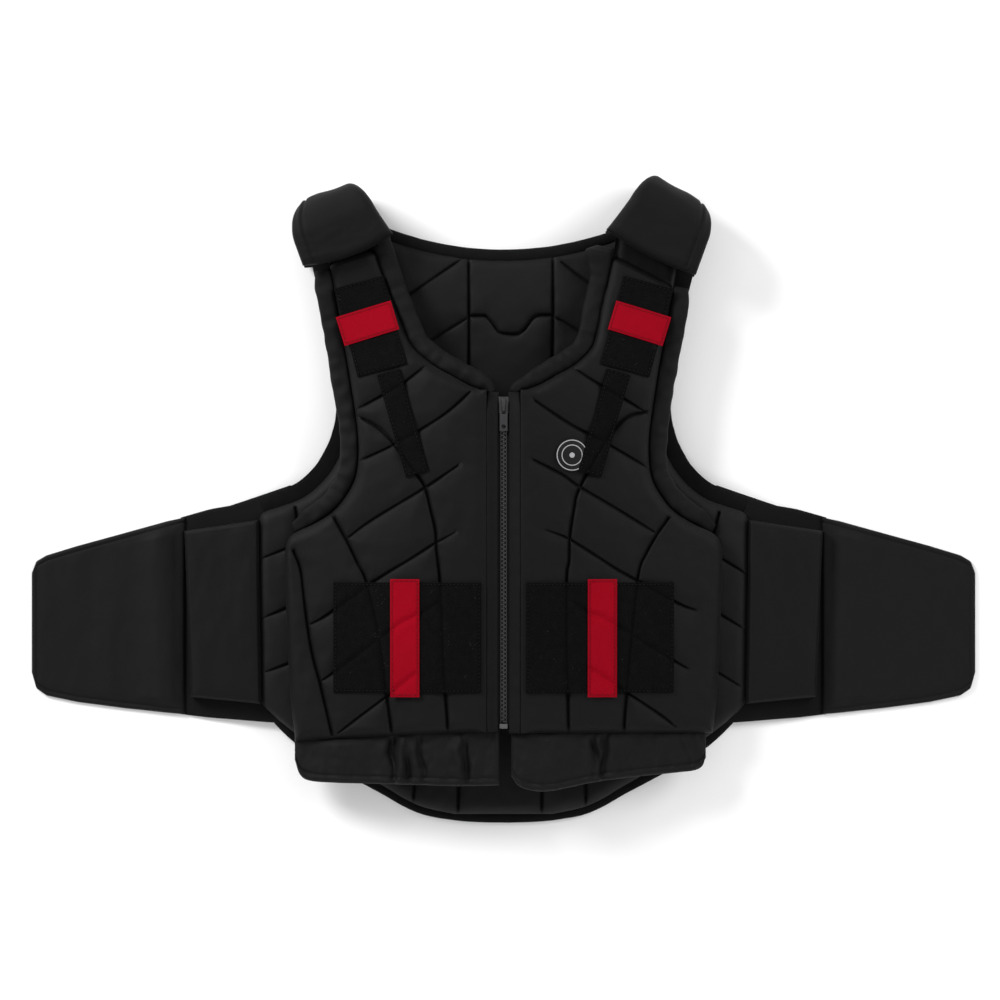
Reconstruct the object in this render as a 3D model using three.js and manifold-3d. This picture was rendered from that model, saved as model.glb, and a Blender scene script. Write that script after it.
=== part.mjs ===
// Riding body protector, laid open on its back: a foam back panel with two wings, and two foam
// front panels joined by a zip, carried over the shoulders by straps under padded caps.
// Millimetres. +X is the wearer's left, +Y runs from the tail to the shoulders, +Z is up.
// The origin is the middle of the footprint, on the surface that the protector lies on.
import * as THREE from "three";
import { mergeVertices } from "three/addons/utils/BufferGeometryUtils.js";
import Module from "manifold-3d";

const wasm = await Module();
wasm.setup();

// Lengths and widths
const BACK_LENGTH = 532; // tail to the back neck
const BACK_HALF = 228; // spine to the side fold
const FRONT_HALF = 203; // zip to the side edge of a front panel
const WING_SPAN = 880; // wing tip to wing tip
const WING_SEAM = 301; // spine to the seam of a wing's end flap
const WING_HEIGHT = 208; // height of a wing at the side fold
const FLAP_DEPTH = 46; // height of the soft flap under a front panel

// Thicknesses and heights
const FOAM = 20; // foam and cloth of a body panel
const SHOULDER_FOAM = 11; // the same, thinned at the shoulders
const CAP_FOAM = 15; // shoulder cap
const WING_FOAM = 14; // pad on a wing
const CLOTH = 3; // two plies of cloth and what is between them
const LOOP_TAPE = 1.8; // hook and loop tape
const RIBBON = 0.8; // red marker ribbon
const FLAP_CLOTH = 7; // soft flap under a front panel
const CHEST_ARCH = 40; // how far the zip stands above the back at the chest
const HEM_ARCH = 27; // the same at the hem
const SHOULDER_SLOT = 8; // front panel above the back panel at the shoulders
const GAP = 0.3; // between two pieces that lie against each other
const TAPE_GAP = 0.6; // under tape that lies on a curved panel

// Bands and bindings
const NECK_BAND = 17;
const NECK_BAND_THICK = 9.5;
const ARMHOLE_BAND = 17.5;
const ARMHOLE_BAND_THICK = 9.5;
const ARMHOLE_BORDER = 15;
const TAIL_BINDING = 7;
const TAIL_BINDING_THICK = 6;
const NECK_BINDING = 9;
const NECK_BINDING_THICK = 9;
const NECK_HALF = 104; // half the opening of the back neck
const NECK_DEPTH = 18;
const NECK_SLOTTED = 55; // length of the neck cut above its lowest point

// Grooves sewn between the foam blocks
const GROOVE_WIDTH = 5;
const GROOVE_DEPTH = 8;

// Shoulders
const SHOULDER_TILT = 20; // degrees that a shoulder leans outwards
const SHOULDER_X = 140; // spine to the middle of a cap's front edge
const SHOULDER_Y = 0.985; // share of the back length at the same point
const CAP_WIDTH = 78;
const CAP_FOLD_WIDTH = 58;
const CAP_LEAF = 38; // flat length of a cap before it folds over the shoulder
const STRAP_WIDTH = 50;
const STRAP_THICK = 2.5;
const STRAP_TUCK = 8; // strap hidden inside a cap's front edge

// Hook and loop tapes and red markers
const CHEST_TAPE = { width: 137, height: 102, x: 89, y: 0.324, lean: 0, facet: 35 };
const CHEST_MARK = { width: 27, height: 109, x: 91, y: 0.323, lean: 0, facet: 35 };
const SHOULDER_TAPE = { width: 47, height: 85, x: 123, y: 0.864, lean: 15, facet: 18 };
const SHOULDER_MARK = { width: 53, height: 28, x: 125.5, y: 0.869, lean: 17, facet: 18 };
const NARROW_TAPE = { width: 22, height: 98, x: 93, y: 0.696, lean: 16, facet: 22 };
const BADGE = { radius: 15, thick: 1.2, x: 63, y: 0.64 };

// Zip
const ZIP_TOP = 0.741; // share of the back length at the zip's upper end
const ZIP_LENGTH = 306;
const ZIP_SINK = 10; // front panels' top to the middle of the zip
const TOOTH_PITCH = 3.8;
const CHAIN_WIDTH = 5.8;
const CHAIN_THICK = 2.4;
const TOOTH_REACH = 2.4; // depth to which the two rows of teeth mesh
const TOOTH_GAP = 0.8; // from a tooth's tip to the other row's root
const ZIP_TAPE_THICK = 1.2;
const PLACKET_THICK = 7;
const ZIP_EDGE = 17.6; // zip to the foam of a front panel
const SLIDER = { width: 9, length: 15, plate: 1.3, wedge: 4.5 };
const PLACKET_IN = SLIDER.width / 2 + GAP; // zip to the free edge of the cloth strip beside it
const BRIDGE = { width: 2.6, length: 11, height: 4.2, bar: 1.3 };
const PULL = { width: 7.2, length: 24, thick: 1.5, pin: 1.5, hole: 4, play: 0.35, reach: 8.2 };
const STOP = { width: 7.4, length: 4.6, thick: 3.6 };

// Outlines. x is a share of the panel's half width and y of the back length, from the tail up.
const BACK_ROWS = [
  { y: 0.012, x: 0.2, border: 1 },
  { y: 0.023, x: 0.32, border: 1 },
  { y: 0.039, x: 0.405, border: 1 },
  { y: 0.057, x: 0.475, border: 1 },
  { y: 0.084, x: 0.585, border: 1 },
  { y: 0.118, x: 0.725, border: 1.2 },
  { y: 0.153, x: 0.85, border: 1.3 },
  { y: 0.183, x: 0.935, border: 1.2 },
  { y: 0.206, x: 0.985, border: 0.45 },
  { y: 0.24, x: 0.992 },
  { y: 0.318, x: 0.995 },
  { y: 0.413, x: 1 },
  { y: 0.5, x: 1 },
  { y: 0.528, x: 0.998 },
  { y: 0.541, x: 0.98, armhole: true },
  { y: 0.551, x: 0.91, armhole: true },
  { y: 0.563, x: 0.835, armhole: true },
  { y: 0.58, x: 0.775, armhole: true },
  { y: 0.605, x: 0.718, armhole: true },
  { y: 0.633, x: 0.677, armhole: true },
  { y: 0.668, x: 0.641, armhole: true },
  { y: 0.712, x: 0.62, armhole: true },
  { y: 0.755, x: 0.62, armhole: true },
  { y: 0.808, x: 0.637, armhole: true },
  { y: 0.86, x: 0.657, armhole: true },
  { y: 0.913, x: 0.68, armhole: true },
  { y: 0.956, x: 0.705, armhole: true },
  { y: 0.99, x: 0.722, armhole: true },
  { y: 1.045, x: 0.735 },
];
const FRONT_ROWS = [
  { y: 0.152, x: 0.955 },
  { y: 0.213, x: 0.973 },
  { y: 0.3, x: 0.987 },
  { y: 0.388, x: 0.996 },
  { y: 0.458, x: 1 },
  { y: 0.489, x: 0.99 },
  { y: 0.505, x: 0.955, armhole: true },
  { y: 0.52, x: 0.87, armhole: true },
  { y: 0.54, x: 0.785, armhole: true },
  { y: 0.565, x: 0.725, armhole: true },
  { y: 0.6, x: 0.675, armhole: true },
  { y: 0.642, x: 0.66, armhole: true },
  { y: 0.687, x: 0.665, armhole: true },
  { y: 0.73, x: 0.68, armhole: true },
  { y: 0.753, x: 0.69, armhole: true, neck: 0.105 },
  { y: 0.762, x: 0.694, armhole: true, neck: 0.165 },
  { y: 0.777, x: 0.7, armhole: true, neck: 0.235 },
  { y: 0.797, x: 0.709, armhole: true, neck: 0.325 },
  { y: 0.826, x: 0.723, armhole: true, neck: 0.41 },
  { y: 0.86, x: 0.738, armhole: true, neck: 0.457 },
  { y: 0.904, x: 0.76, armhole: true, neck: 0.5 },
  { y: 0.948, x: 0.782, armhole: true, neck: 0.543 },
  { y: 1.0, x: 0.805, armhole: true, neck: 0.59 },
  { y: 1.03, x: 0.815, neck: 0.61 },
];
// A wing, from the side fold outwards. x is a share of the wing's length beyond the fold, and
// top and bottom are shares of its height at the fold, from the bottom there.
const WING_ROWS = [
  { x: 0, bottom: 0, top: 1 },
  { x: 0.16, bottom: 0.012, top: 0.976 },
  { x: 0.345, bottom: 0.03, top: 0.92 },
];
const WING_FLAP_ROWS = [
  { x: 0.345, bottom: 0.03, top: 0.92 },
  { x: 0.6, bottom: 0.06, top: 0.845 },
  { x: 0.8, bottom: 0.088, top: 0.785 },
  { x: 0.935, bottom: 0.118, top: 0.743 },
  { x: 0.98, bottom: 0.15, top: 0.715 },
  { x: 1, bottom: 0.22, top: 0.66 },
];
const WING_BOTTOM = 0.178; // share of the back length at the wing's lower corner by the body
const WING_PAD_ROWS = [
  { x: 0.012, bottom: 0.085, top: 0.885 },
  { x: 0.16, bottom: 0.09, top: 0.878 },
  { x: 0.335, bottom: 0.1, top: 0.86 },
];
// The soft flaps. x is a share of the front half width, and drop of the flap's depth.
const FLAP_ROWS = {
  right: [
    { x: 0.02, drop: 0.98 },
    { x: 0.2, drop: 1 },
    { x: 0.5, drop: 0.97 },
    { x: 0.75, drop: 0.95 },
    { x: 0.88, drop: 0.92 },
    { x: 0.93, drop: 0.8 },
    { x: 0.955, drop: 0.5 },
  ],
  left: [
    { x: 0.035, drop: 0.8 },
    { x: 0.08, drop: 1.02 },
    { x: 0.2, drop: 1.1 },
    { x: 0.45, drop: 0.9 },
    { x: 0.75, drop: 0.76 },
    { x: 0.89, drop: 0.68 },
    { x: 0.925, drop: 0.45 },
  ],
};
// Gathers in the flaps: where a fold lies, how wide it is, and how far it rises or sinks.
const FLAP_FOLDS = {
  right: [
    { x: 0.26, width: 9, rise: -2.2 },
    { x: 0.31, width: 10, rise: 1.8 },
    { x: 0.43, width: 9, rise: -2.4 },
    { x: 0.5, width: 11, rise: 2 },
    { x: 0.57, width: 9, rise: -1.8 },
    { x: 0.72, width: 26, rise: 1.6 },
  ],
  left: [
    { x: 0.22, width: 24, rise: 1.4 },
    { x: 0.44, width: 9, rise: -2.2 },
    { x: 0.49, width: 9, rise: 2 },
    { x: 0.54, width: 8, rise: -2.4 },
    { x: 0.62, width: 12, rise: 1.6 },
    { x: 0.8, width: 24, rise: 1.2 },
  ],
};
// Sewn grooves, as runs of [x, y] in shares of the panel's half width and the back length.
const FRONT_GROOVES = {
  right: [
    [[0.378, 0.603], [0.34, 0.578], [0.302, 0.522], [0.28, 0.463], [0.268, 0.378], [0.26, 0.271], [0.24, 0.168]],
    [[0.195, 0.62], [0.346, 0.58], [0.7, 0.494]],
    [[0.21, 0.505], [0.294, 0.492], [0.54, 0.43], [0.79, 0.362], [0.875, 0.346]],
    [[0.27, 0.378], [0.5, 0.339], [0.785, 0.259], [0.82, 0.25]],
    [[0.385, 0.266], [0.51, 0.218], [0.735, 0.158]],
    [[0.76, 0.53], [0.7, 0.494], [0.61, 0.42], [0.56, 0.32], [0.51, 0.217], [0.49, 0.16]],
    [[0.945, 0.475], [0.89, 0.356], [0.825, 0.241], [0.76, 0.165]],
    [[0.66, 0.622], [0.5, 0.657], [0.4, 0.685]],
    [[0.69, 0.718], [0.525, 0.68]],
    [[0.375, 0.682], [0.18, 0.736], [0.11, 0.757]],
    [[0.67, 0.718], [0.57, 0.734], [0.455, 0.763], [0.335, 0.797]],
  ],
  left: [
    [[0.37, 0.58], [0.325, 0.527], [0.312, 0.463], [0.301, 0.411], [0.303, 0.335], [0.311, 0.228], [0.315, 0.168]],
    [[0.178, 0.628], [0.374, 0.584], [0.715, 0.505]],
    [[0.222, 0.511], [0.317, 0.49], [0.557, 0.435], [0.8, 0.387], [0.887, 0.372]],
    [[0.303, 0.391], [0.49, 0.36], [0.803, 0.284], [0.85, 0.271]],
    [[0.4, 0.271], [0.573, 0.224], [0.8, 0.169]],
    [[0.77, 0.534], [0.715, 0.503], [0.63, 0.435], [0.6, 0.33], [0.573, 0.224], [0.567, 0.16]],
    [[0.66, 0.622], [0.492, 0.662]],
    [[0.67, 0.72], [0.5, 0.678]],
    [[0.168, 0.737], [0.355, 0.685]],
    [[0.68, 0.72], [0.56, 0.74], [0.43, 0.768], [0.303, 0.8]],
  ],
};
const BACK_GROOVES = [
  [[-0.143, 0.988], [-0.143, 0.79], [-0.165, 0.5], [-0.186, 0.02]],
  [[0.2, 0.988], [0.2, 0.79], [0.18, 0.5], [0.155, 0.02]],
  [[-0.143, 0.883], [-0.062, 0.883], [-0.006, 0.851], [0.08, 0.851], [0.133, 0.883], [0.2, 0.885]],
  [[-0.165, 0.985], [-0.38, 0.923], [-0.6, 0.862]],
  [[-0.143, 0.881], [-0.3, 0.84], [-0.58, 0.76]],
  [[0.235, 0.978], [0.34, 0.944], [0.6, 0.87]],
  [[0.2, 0.883], [0.29, 0.862], [0.58, 0.78]],
  [[-0.37, 0.04], [-0.36, 0.14], [-0.4, 0.35], [-0.5, 0.6]],
  [[0.335, 0.04], [0.34, 0.14], [0.38, 0.35], [0.48, 0.6]],
  [[-0.85, 0.55], [-0.81, 0.46], [-0.72, 0.22]],
  [[0.88, 0.54], [0.83, 0.46], [0.74, 0.22]],
  [[-0.98, 0.46], [-0.81, 0.49]],
  [[-0.98, 0.355], [-0.79, 0.39]],
  [[-0.96, 0.262], [-0.75, 0.296]],
  [[0.99, 0.434], [0.82, 0.478]],
  [[0.98, 0.335], [0.8, 0.384]],
  [[0.96, 0.236], [0.76, 0.29]],
];

// A body is thinned and level with its other layer between these shares of the back length.
const SHOULDER_FROM = 0.76;
const SHOULDER_TO = 0.955;
const CHEST_AT = 0.55;
const HEM_AT = 0.15;
const SHOULDER_RISE = CAP_FOAM + STRAP_THICK + 2 * GAP; // cap and strap under the back panel

// How an edge rounds off: shares of the rim's width, and of its fall at the edge.
const RIM = 10;
const ROUND_EDGE = [
  { inset: 0, fall: 1 },
  { inset: 0.4, fall: 0.32 },
  { inset: 1, fall: 0 },
];
const THIN_EDGE = [
  { inset: 0, fall: 1 },
  { inset: 1, fall: 0 },
];
const CUT_EDGE = [{ inset: 0, fall: 0 }];
const TOP_FALL = 0.45; // shares of the thickness that an edge loses above and below
const BOTTOM_FALL = 0.2;

const { clamp, degToRad, lerp, smoothstep } = THREE.MathUtils;
const alongBack = (share) => share * BACK_LENGTH;
const shoulderShare = (y) => smoothstep(y, alongBack(SHOULDER_FROM), alongBack(SHOULDER_TO));
const foamAt = (y) => lerp(FOAM, SHOULDER_FOAM, shoulderShare(y));
const backFloor = (y) => SHOULDER_RISE * shoulderShare(y);
const backTop = (y) => backFloor(y) + foamAt(y);

// Height of the front panels' inner side, an arch from side to side that is level at the shoulders.
function frontFloor(x, y) {
  const arch = lerp(HEM_ARCH, CHEST_ARCH, smoothstep(y, alongBack(HEM_AT), alongBack(CHEST_AT)));
  const bow = arch * Math.cos((Math.PI / 2) * clamp(Math.abs(x) / (FRONT_HALF - RIM), 0, 1));
  return backTop(y) + GAP + lerp(bow, SHOULDER_SLOT, shoulderShare(y));
}
const frontTop = (x, y) => frontFloor(x, y) + foamAt(y);

function geometryOf(points, triangles) {
  const geometry = new THREE.BufferGeometry();
  geometry.setAttribute("position", new THREE.Float32BufferAttribute(points.flat(), 3));
  geometry.setIndex(triangles.flat());
  return geometry;
}

// A closed slab between two grids of points: sheet[i][j] holds an outer and an inner point.
function slab(sheet) {
  const rows = sheet.length;
  const columns = sheet[0].length;
  const outer = (i, j) => i * columns + j;
  const inner = (i, j) => rows * columns + outer(i, j);
  const points = [
    ...sheet.flat().map((node) => node.outer),
    ...sheet.flat().map((node) => node.inner),
  ];
  const triangles = [];
  const quad = (a, b, c, d) => triangles.push([a, b, c], [a, c, d]);
  for (let i = 0; i + 1 < rows; i++) {
    for (let j = 0; j + 1 < columns; j++) {
      quad(outer(i, j), outer(i, j + 1), outer(i + 1, j + 1), outer(i + 1, j));
      quad(inner(i, j), inner(i + 1, j), inner(i + 1, j + 1), inner(i, j + 1));
    }
    quad(outer(i, 0), outer(i + 1, 0), inner(i + 1, 0), inner(i, 0));
    quad(outer(i + 1, columns - 1), outer(i, columns - 1), inner(i, columns - 1), inner(i + 1, columns - 1));
  }
  for (let j = 0; j + 1 < columns; j++) {
    quad(outer(0, j + 1), outer(0, j), inner(0, j), inner(0, j + 1));
    quad(outer(rows - 1, j), outer(rows - 1, j + 1), inner(rows - 1, j + 1), inner(rows - 1, j));
  }
  return geometryOf(points, triangles);
}

// Steps from 0 to length with an edge at each end, as {at, fall}.
function rimmed(length, steps, rim, edge) {
  const reach = Math.min(rim, 0.3 * length);
  const near = edge.map(({ inset, fall }) => ({ at: inset * reach, fall }));
  const far = edge.map(({ inset, fall }) => ({ at: length - inset * reach, fall })).reverse();
  const middle = [];
  for (let k = 1; k < steps; k++) {
    middle.push({ at: lerp(reach, length - reach, k / steps), fall: 0 });
  }
  return [...near, ...middle, ...far];
}

// Rows with edges at both ends: each row is a line from a to b.
function withEnds(rows, rim, edge) {
  const between = (from, to) => {
    const share = (inset) => Math.min(0.9, (inset * rim) / from.a.distanceTo(to.a));
    return edge.map(({ inset, fall }) => ({
      a: from.a.clone().lerp(to.a, share(inset)),
      b: from.b.clone().lerp(to.b, share(inset)),
      fall,
    }));
  };
  const first = between(rows[0], rows[1]);
  const last = between(rows[rows.length - 1], rows[rows.length - 2]).reverse();
  return [...first, ...rows.slice(1, -1).map((row) => ({ ...row, fall: 0 })), ...last];
}

// A padded piece over rows of plan lines, between two height functions of x and y.
function padded({ rows, steps, top, bottom, edge = ROUND_EDGE, rim = RIM, ...falls }) {
  const { topFall = TOP_FALL, bottomFall = BOTTOM_FALL } = falls;
  const sheet = withEnds(rows, rim, edge).map(({ a, b, fall: endFall }) => {
    const length = a.distanceTo(b);
    return rimmed(length, steps, rim, edge).map(({ at, fall }) => {
      const { x, y } = a.clone().lerp(b, at / length);
      const both = 1 - (1 - fall) * (1 - endFall);
      const thick = top(x, y) - bottom(x, y);
      return {
        outer: [x, y, top(x, y) - both * topFall * thick],
        inner: [x, y, bottom(x, y) + both * bottomFall * thick],
      };
    });
  });
  return facingOut(slab(sheet));
}

function signedVolume(geometry) {
  const at = geometry.getAttribute("position");
  const [a, b, c] = [0, 1, 2].map(() => new THREE.Vector3());
  let total = 0;
  for (let k = 0; k < geometry.index.count; k += 3) {
    a.fromBufferAttribute(at, geometry.index.getX(k));
    b.fromBufferAttribute(at, geometry.index.getX(k + 1));
    c.fromBufferAttribute(at, geometry.index.getX(k + 2));
    total += a.dot(b.cross(c));
  }
  return total / 6;
}

// Turns a closed geometry's faces outwards, whichever way its rows ran.
function facingOut(geometry) {
  if (signedVolume(geometry) < 0) {
    const index = geometry.index;
    for (let k = 0; k < index.count; k += 3) {
      const kept = index.getX(k);
      index.setX(k, index.getX(k + 1));
      index.setX(k + 1, kept);
    }
  }
  return geometry;
}

// A section carried along a plan path. Section points are an offset to the right of the path and a
// height over base at that point. reach scales the offsets at each point of the path.
function swept(path, profile, base, reach = () => 1) {
  const drawn = profile.map(({ off, height }) => new THREE.Vector2(off, height));
  const section = THREE.ShapeUtils.isClockWise(drawn) ? [...profile].reverse() : profile;
  const rings = path.map((point, i) => {
    const before = path[Math.max(0, i - 1)];
    const after = path[Math.min(path.length - 1, i + 1)];
    const into = point.clone().sub(before).normalize();
    const out = after.clone().sub(point).normalize();
    const run = into.add(out).normalize();
    const bend = i > 0 && i + 1 < path.length ? Math.max(0.6, run.dot(out)) : 1;
    return section.map(({ off, height }) => {
      const side = (off * reach(i)) / bend;
      const x = point.x + run.y * side;
      const y = point.y - run.x * side;
      return [x, y, base(x, y) + height];
    });
  });
  const size = section.length;
  const at = (i, k) => i * size + (k % size);
  const triangles = [];
  for (let i = 0; i + 1 < rings.length; i++) {
    for (let k = 0; k < size; k++) {
      triangles.push([at(i, k), at(i + 1, k), at(i + 1, k + 1)], [at(i, k), at(i + 1, k + 1), at(i, k + 1)]);
    }
  }
  const outline = section.map(({ off, height }) => new THREE.Vector2(off, height));
  for (const [p, q, r] of THREE.ShapeUtils.triangulateShape(outline, [])) {
    triangles.push([at(0, p), at(0, q), at(0, r)]);
    triangles.push([at(rings.length - 1, p), at(rings.length - 1, r), at(rings.length - 1, q)]);
  }
  return facingOut(geometryOf(rings.flat(), triangles));
}

function solidOf(geometry) {
  const bare = new THREE.BufferGeometry();
  bare.setAttribute("position", geometry.getAttribute("position").clone());
  if (geometry.index) bare.setIndex(geometry.index.clone());
  const merged = mergeVertices(bare, 1e-3);
  return new wasm.Manifold(
    new wasm.Mesh({
      numProp: 3,
      vertProperties: new Float32Array(merged.attributes.position.array),
      triVerts: new Uint32Array(merged.index.array),
    }),
  );
}

function geometryFrom(solid) {
  const mesh = solid.getMesh();
  const geometry = new THREE.BufferGeometry();
  geometry.setAttribute("position", new THREE.BufferAttribute(new Float32Array(mesh.vertProperties), 3));
  geometry.setIndex(new THREE.BufferAttribute(new Uint32Array(mesh.triVerts), 1));
  return geometry;
}

const joined = (geometries) => geometryFrom(geometries.map(solidOf).reduce((all, next) => all.add(next)));
const cut = (geometry, cutters) =>
  geometryFrom(cutters.map(solidOf).reduce((left, cutter) => left.subtract(cutter), solidOf(geometry)));

// The other side's twin of a geometry.
function mirrored(geometry) {
  return facingOut(geometry.clone().scale(-1, 1, 1));
}

// A box with its middle at x, y, z.
function block(width, depth, height, x, y, z) {
  return new THREE.BoxGeometry(width, depth, height).translate(x, y, z);
}

// Points along a run with no step longer than the given one.
function stepped(run, longest) {
  const points = [];
  run.slice(1).forEach((end, i) => {
    const steps = Math.ceil(run[i].distanceTo(end) / longest);
    for (let k = 0; k < steps; k++) points.push(run[i].clone().lerp(end, k / steps));
  });
  return [...points, run[run.length - 1]];
}

// A cutter for one sewn groove in a surface, reaching above it so that it cuts clean through.
function groove(run, surface) {
  const flare = 1.5;
  const section = [
    { off: (-flare * GROOVE_WIDTH) / 2, height: (flare - 1) * GROOVE_DEPTH },
    { off: (flare * GROOVE_WIDTH) / 2, height: (flare - 1) * GROOVE_DEPTH },
    { off: 0, height: -GROOVE_DEPTH },
  ];
  return swept(stepped(run, 60), section, surface);
}

const plan = (x, y) => new THREE.Vector2(x, y);
const backPlan = (x, y) => plan(x * BACK_HALF, alongBack(y));
const frontPlan = (x, y) => plan(x * FRONT_HALF, alongBack(y));

function backPanel() {
  const foam = padded({
    rows: BACK_ROWS.map(({ x, y }) => ({ a: backPlan(-x, y), b: backPlan(x, y) })),
    steps: 1,
    top: (x, y) => backTop(y),
    bottom: (x, y) => backFloor(y),
  });
  const above = 2 * FOAM + SHOULDER_RISE;
  const neck = new THREE.Shape([...neckLine(), plan(NECK_HALF, neckTop()), plan(-NECK_HALF, neckTop())]);
  const opening = new THREE.ExtrudeGeometry(neck, { depth: 2 * above, bevelEnabled: false });
  const cutters = BACK_GROOVES.map((run) =>
    groove(run.map(([x, y]) => backPlan(x, y)), (x, y) => backTop(y)),
  );
  return cut(foam, [opening.translate(0, 0, -above), ...cutters]);
}

const neckBottom = () => alongBack(1) - NECK_BINDING;
const neckTop = () => neckBottom() + NECK_SLOTTED + NECK_DEPTH;

// The back neck, an arc from side to side.
function neckLine() {
  const radius = (NECK_HALF ** 2 + NECK_DEPTH ** 2) / (2 * NECK_DEPTH);
  const steps = 10;
  return Array.from({ length: steps + 1 }, (_, k) => {
    const x = lerp(-NECK_HALF, NECK_HALF, k / steps);
    return plan(x, neckBottom() + radius - Math.sqrt(radius ** 2 - x ** 2));
  });
}

// Section of a rolled band: flat against the foam at the gap, and round at its free edge.
function rolled(width, thick, lift) {
  const shares = [
    { off: 0, height: 0.12 },
    { off: 0, height: 0.92 },
    { off: 0.35, height: 1 },
    { off: 0.72, height: 0.93 },
    { off: 0.94, height: 0.7 },
    { off: 1, height: 0.42 },
    { off: 0.9, height: 0.14 },
    { off: 0.68, height: 0 },
  ];
  return shares.map(({ off, height }) => ({ off: GAP + off * width, height: lift + height * thick }));
}

const frontRowsAt = (test) => FRONT_ROWS.filter(test);
const armholeRun = () => frontRowsAt((row) => row.armhole).map(({ x, y }) => frontPlan(x, y));
const neckRun = () => frontRowsAt((row) => row.neck).map(({ neck, y }) => frontPlan(neck, y)).reverse();

function frontPanel(side) {
  const foam = padded({
    rows: FRONT_ROWS.map(({ x, y, neck }) => ({
      a: neck ? frontPlan(neck, y) : plan(ZIP_EDGE, alongBack(y)),
      b: frontPlan(x, y),
    })),
    steps: 4,
    top: frontTop,
    bottom: frontFloor,
  });
  const cutters = FRONT_GROOVES[side].map((run) => groove(run.map(([x, y]) => frontPlan(x, y)), frontTop));
  return cut(foam, cutters);
}

function neckBand() {
  return swept(neckRun(), rolled(NECK_BAND, NECK_BAND_THICK, 1), frontFloor);
}

function armholeBand() {
  return swept(armholeRun(), rolled(ARMHOLE_BAND, ARMHOLE_BAND_THICK, 1), frontFloor);
}

const EDGE_LIFT = BOTTOM_FALL * FOAM + 1; // where thin cloth leaves a foam edge

function armholeBorder() {
  const run = BACK_ROWS.filter((row) => row.armhole).map(({ x, y }) => backPlan(x, y));
  const section = [
    { off: GAP, height: EDGE_LIFT },
    { off: GAP, height: EDGE_LIFT + CLOTH },
    { off: 0.8 * ARMHOLE_BORDER, height: EDGE_LIFT + 0.8 * CLOTH },
    { off: ARMHOLE_BORDER, height: EDGE_LIFT + 0.4 * CLOTH },
    { off: 0.8 * ARMHOLE_BORDER, height: EDGE_LIFT },
  ];
  return swept(run, section, (x, y) => backFloor(y));
}

function tailBinding() {
  const rows = BACK_ROWS.filter((row) => row.border);
  const down = [...rows].reverse();
  const run = [...down.map(({ x, y }) => backPlan(-x, y)), ...rows.map(({ x, y }) => backPlan(x, y))];
  const widths = [...down, ...rows].map((row) => row.border);
  const section = [
    { off: GAP, height: 1 },
    { off: GAP, height: 1 + TAIL_BINDING_THICK },
    { off: 0.6 * TAIL_BINDING, height: 0.9 * TAIL_BINDING_THICK },
    { off: TAIL_BINDING, height: 0.5 * TAIL_BINDING_THICK },
    { off: 0.7 * TAIL_BINDING, height: 0 },
    { off: 0.3 * TAIL_BINDING, height: 0 },
  ];
  return swept(run, section, () => 0, (i) => widths[i]);
}

function neckBinding() {
  const section = rolled(NECK_BINDING, NECK_BINDING_THICK, 1).map(({ off, height }) => ({ off: -off, height }));
  return swept(neckLine(), section, (x, y) => backFloor(y));
}

const wingStart = () => BACK_HALF + 2 * GAP;
const wingPlan = (x, height) =>
  plan(lerp(wingStart(), WING_SPAN / 2, x), alongBack(WING_BOTTOM) + height * WING_HEIGHT);
const wingSeamShare = () => (WING_SEAM - wingStart()) / (WING_SPAN / 2 - wingStart());

// The wing's cloth leaves the foam's edge and comes down to the surface.
const wingFloor = (x) => EDGE_LIFT * clamp((WING_SEAM - x) / (WING_SEAM - wingStart()), 0, 1);

// Rows over a wing. Shares of x in the tables are drawn for the seam at SEAM_DRAWN.
const SEAM_DRAWN = 0.345;
function wingRows(rows, shift = 0) {
  const seam = wingSeamShare();
  return rows.map(({ x, bottom, top }) => {
    const along = x <= SEAM_DRAWN ? (x / SEAM_DRAWN) * seam : lerp(seam, 1, (x - SEAM_DRAWN) / (1 - SEAM_DRAWN));
    const a = wingPlan(along, bottom);
    const b = wingPlan(along, top);
    return { a: a.setX(a.x + shift), b: b.setX(b.x + shift) };
  });
}

const thinCloth = { edge: THIN_EDGE, rim: 3, topFall: 0.35, bottomFall: 0.15 };

function wingPanel() {
  return padded({
    rows: wingRows(WING_ROWS),
    steps: 1,
    top: (x) => wingFloor(x) + CLOTH,
    bottom: wingFloor,
    ...thinCloth,
  });
}

function wingFlap() {
  return padded({
    rows: wingRows(WING_FLAP_ROWS, GAP),
    steps: 2,
    top: () => CLOTH + 0.8,
    bottom: () => 0,
    ...thinCloth,
  });
}

function wingPad() {
  const base = (x) => wingFloor(x) + CLOTH + GAP;
  return padded({
    rows: wingRows(WING_PAD_ROWS),
    steps: 1,
    top: (x) => base(x) + WING_FOAM,
    bottom: base,
    rim: 8,
    topFall: 0.4,
    bottomFall: 0.1,
  });
}

// Height that the gathers add to a flap at x, fading towards its sewn edge.
function gathers(side, x, y) {
  const fade = smoothstep(alongBack(FRONT_ROWS[0].y) - y, 0, 0.35 * FLAP_DEPTH);
  return FLAP_FOLDS[side].reduce((sum, fold) => {
    const away = (x - fold.x * FRONT_HALF) / fold.width;
    return sum + fade * fold.rise * Math.exp(-2 * away * away);
  }, 0);
}

function hemFlap(side) {
  const sewn = alongBack(FRONT_ROWS[0].y) - GAP;
  const table = FLAP_ROWS[side];
  const outline = table.map(({ x, drop }) => plan(x * FRONT_HALF, sewn - drop * FLAP_DEPTH));
  const rows = stepped(outline, 11).map((low) => ({ a: low, b: plan(low.x, sewn) }));
  const lift = 4;
  const base = (x, y) => frontFloor(x, y) + lift + gathers(side, x, y);
  return padded({
    rows,
    steps: 2,
    top: (x, y) => base(x, y) + FLAP_CLOTH,
    bottom: base,
    edge: THIN_EDGE,
    rim: 5,
    topFall: 0.4,
    bottomFall: 0.3,
  });
}

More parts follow.
